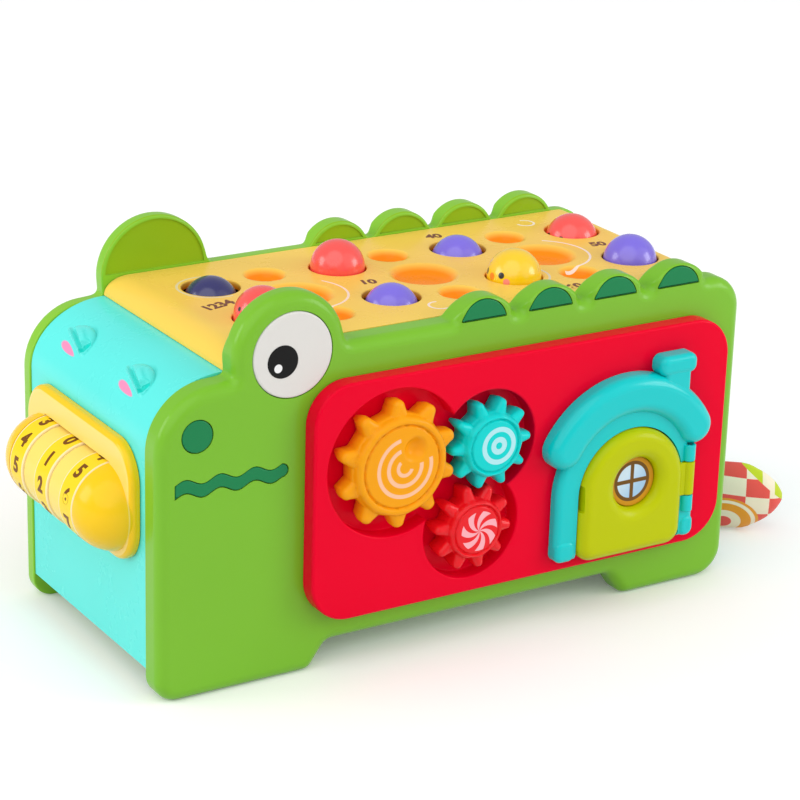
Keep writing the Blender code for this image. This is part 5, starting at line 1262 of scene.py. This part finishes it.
def soft_pillow():
    """A lens of cloth along the middle line: thickness * |cos a|^1.25 across and height * |sin a|^0.9 up."""
    x, y, z, half, fat = [row[:, None] for row in tail_rows()]
    way = unit(np.hstack([np.gradient(x, axis=0), np.gradient(y, axis=0)]))
    angle = np.linspace(0, 2 * math.pi, 40, endpoint=False)
    across = np.sign(np.cos(angle)) * np.abs(np.cos(angle)) ** 1.25
    up = np.sign(np.sin(angle)) * np.abs(np.sin(angle)) ** 0.9
    grid = [x - way[:, 1:] * fat * across, y + way[:, :1] * fat * across, z + half * up]
    return mesh_of("padded_tail", np.stack(grid, axis=-1).reshape(-1, 3), tube(len(x), len(angle)))


def puffed(piece, cap):
    """Twenty frames of cloth under pressure. A point moves by cap * tanh(way / cap), less near the root."""
    before = arrays_of(piece.data)[0] / MM
    puff = piece.modifiers.new("puff", "CLOTH").settings
    puff.use_pressure = True
    puff.uniform_pressure_force = 4.0
    puff.effector_weights.gravity = 0.0
    for number in range(1, 21):
        bpy.context.scene.frame_set(number)
    worked_in(piece)
    way = arrays_of(piece.data)[0] / MM - before
    far = np.maximum(np.linalg.norm(way, axis=1), 1e-6)[:, None]
    free = np.clip((before[:, :1] - REAR_X) / 12, 0, 1)
    after = before + way / far * cap * np.tanh(far / cap) * free
    after[:, 2] = np.maximum(after[:, 2], 0.4)
    piece.data.vertices.foreach_set("co", (after * MM).astype(np.float32).ravel())
    bpy.context.scene.frame_set(1)
    finer = piece.modifiers.new("finer", "SUBSURF")
    finer.levels = finer.render_levels = 1
    worked_in(piece)
    print("puffed", round(float(np.max(far)), 2), "mm at most before the cap")


def cloth(name):
    """Printed cloth: checks above, arcs below and a lime strip, under a fine weave."""
    cream, red, orange, lime = tint("#FFF3D6"), tint("#F4564C"), tint("#F6A21E"), tint("#C8DC14")
    recipe = Recipe(name)
    x, y, z = recipe.place()
    along = (x - REAR_X) * 0.84 + (MIDDLE_Y - y) * 0.54
    column, row = (along - 60.5) / 12, (z + along * 0.10 - 26.5) / 9
    check = (column.math("FLOOR") + row.math("FLOOR")).math("MODULO", 2.0).math("ABSOLUTE")
    colour = recipe.mix(check > 0.5, red, cream)
    distance = length((along - 50) / 1.35, z - 6)
    for radius, code in ((13.4, orange), (12.2, cream), (10.6, orange), (6.8, cream), (3.3, red)):
        colour = recipe.mix(inside(distance, radius), colour, code)
    colour = recipe.mix((z + along * 0.874) > 86.7, colour, recipe.mix(band(along, 71.8, 3.2), lime, cream))
    thread = 2 * math.pi / 0.62
    weave = (along * thread).math("SINE") * (z * thread).math("SINE")
    skin = recipe.bump(weave * 0.12 + recipe.noise(90.0, 3.0), 0.55, 0.0009)
    rough = 0.82 + (recipe.noise(300.0) - 0.5) * 0.2
    return recipe.feed({
        "Base Color": colour, "Normal": skin, "Roughness": rough,
        "Sheen Weight": 0.25, "Sheen Roughness": 0.5,
    })


tail = soft_pillow()
remesh = tail.modifiers.new("remesh", "REMESH")
remesh.mode = "VOXEL"
remesh.voxel_size = 0.9 * MM
worked_in(tail)
puffed(tail, 1.6)
tail.data.shade_smooth()
dressed(tail, cloth("patchwork cloth"), "tail")

# %% [markdown]
# Nodes that keep their own shape are inner parts: the guide, the rockers, the shaft, the base and the screws.
# They get plain moulded plastic and turned steel.

# %% Inner parts
steel = Recipe("turned steel")
grain = steel.noise(420.0, 3.0)
STEEL = steel.feed({
    "Metallic": 1.0, "Base Color": steel.mix(grain, tint("#9C9FA3"), tint("#C2C5C9")),
    "Roughness": 0.28 + (grain - 0.5) * 0.16,
})
INNER = plastic("inner white plastic", "#E6E4DE", roughness=0.42, wave=0.12)
REAR = plastic("rear cyan plastic", "#58DDD6", roughness=0.3)
LOOKS = {"steel": STEEL, "inner_white": INNER, "green_shell": GREEN, "nose_cyan": REAR, "deck_orange": DECK}
replaced = {node for piece in bpy.data.objects for node in piece.get("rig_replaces") or ()}
kept = sorted(set(frame["nodes"]) - replaced)
for node in kept:
    frame["nodes"][node].data.materials.clear()
    frame["nodes"][node].data.materials.append(LOOKS.get(SLOT_OF[node], INNER))
print("kept nodes", kept)

# %% [markdown]
# The stage is a pale floor under soft lamps. The floor is white only to the camera, so it adds no light.


# %% Stage
def grey(level):
    """A colour with three equal parts."""
    return (level, level, level, 1.0)


carpet = Recipe("floor")
seen = carpet.node("ShaderNodeLightPath", output="Is Camera Ray")
for ray in ("Is Glossy Ray", "Is Transmission Ray"):
    seen = seen.math("MAXIMUM", carpet.node("ShaderNodeLightPath", output=ray))
carpet.feed({
    "Base Color": carpet.mix(seen, grey(0.72), grey(1.0)),
    "Emission Color": carpet.mix(seen, grey(0.0), grey(0.09)),
    "Emission Strength": 1.0, "Roughness": 0.9, "Specular IOR Level": 0.0,
})
ground = np.array([[-1, -1, 0], [1, -1, 0], [1, 1, 0], [-1, 1, 0]]) * 6000.0
floor = mesh_of("floor", ground, [(0, 1, 2, 3)], outwards=False)
floor.data.materials.append(carpet.material)

world = bpy.data.worlds.new("studio")
bpy.context.scene.world = world
world.use_nodes = True
world.node_tree.nodes["Background"].inputs["Color"].default_value = grey(1.0)
world.node_tree.nodes["Background"].inputs["Strength"].default_value = 0.56


def lamp(name, kind, energy, place, target, **sizes):
    """A lamp at a place, in metres, turned to face a target. A sun is far, so the floor is evenly lit.
    An area lamp draws the soft windows on the gloss."""
    data = bpy.data.lights.new(name, kind)
    data.energy = energy
    for key, value in sizes.items():
        setattr(data, key, value)
    holder = bpy.data.objects.new(name, data)
    holder.location = place
    holder.rotation_euler = (Vector(place) - Vector(target)).to_track_quat("Z", "Y").to_euler()
    bpy.context.scene.collection.objects.link(holder)


lamp("key sun", "SUN", 1.12, (0, 0, 0), (0.62, 0.50, -0.85), angle=math.radians(70))
lamp("fill sun", "SUN", 0.36, (0, 0, 0), (-0.6, 0.9, -0.6), angle=math.radians(60))
lamp("left window", "AREA", 4.0, (-1.15, 0.42, 0.55), (0, 0, 0.06), size=0.6)
lamp("right window", "AREA", 4.2, (1.05, -0.80, 0.50), (0, 0, 0.06), size=0.6)


# %% [markdown]
# The camera stands where the photograph was taken from, as far as its straight edges and arcs tell.


# %% Camera
def camera_at(place, lens, yaw, pitch, roll):
    """Axes from yaw and pitch, turned by the roll about the view."""
    yaw, pitch, roll = map(math.radians, (yaw, pitch, roll))
    forward = np.array([math.sin(yaw) * math.cos(pitch), math.cos(yaw) * math.cos(pitch), -math.sin(pitch)])
    right = np.array([math.cos(yaw), -math.sin(yaw), 0])
    down = np.cross(forward, right)
    first = math.cos(roll) * right + math.sin(roll) * down
    second = -math.sin(roll) * right + math.cos(roll) * down
    data = bpy.data.cameras.new("camera")
    data.lens = lens
    data.sensor_width = 36
    data.clip_start = 0.05
    holder = bpy.data.objects.new("camera", data)
    rows = np.column_stack([first, -second, -forward, place])
    holder.matrix_world = Matrix([*rows.tolist(), [0, 0, 0, 1]])
    bpy.context.scene.collection.objects.link(holder)
    bpy.context.scene.camera = holder


camera_at((-0.6366, -0.98855, 0.5250), 121.8, 32.25, 20.32, -1.73)
bpy.context.scene.view_settings.view_transform = "Standard"
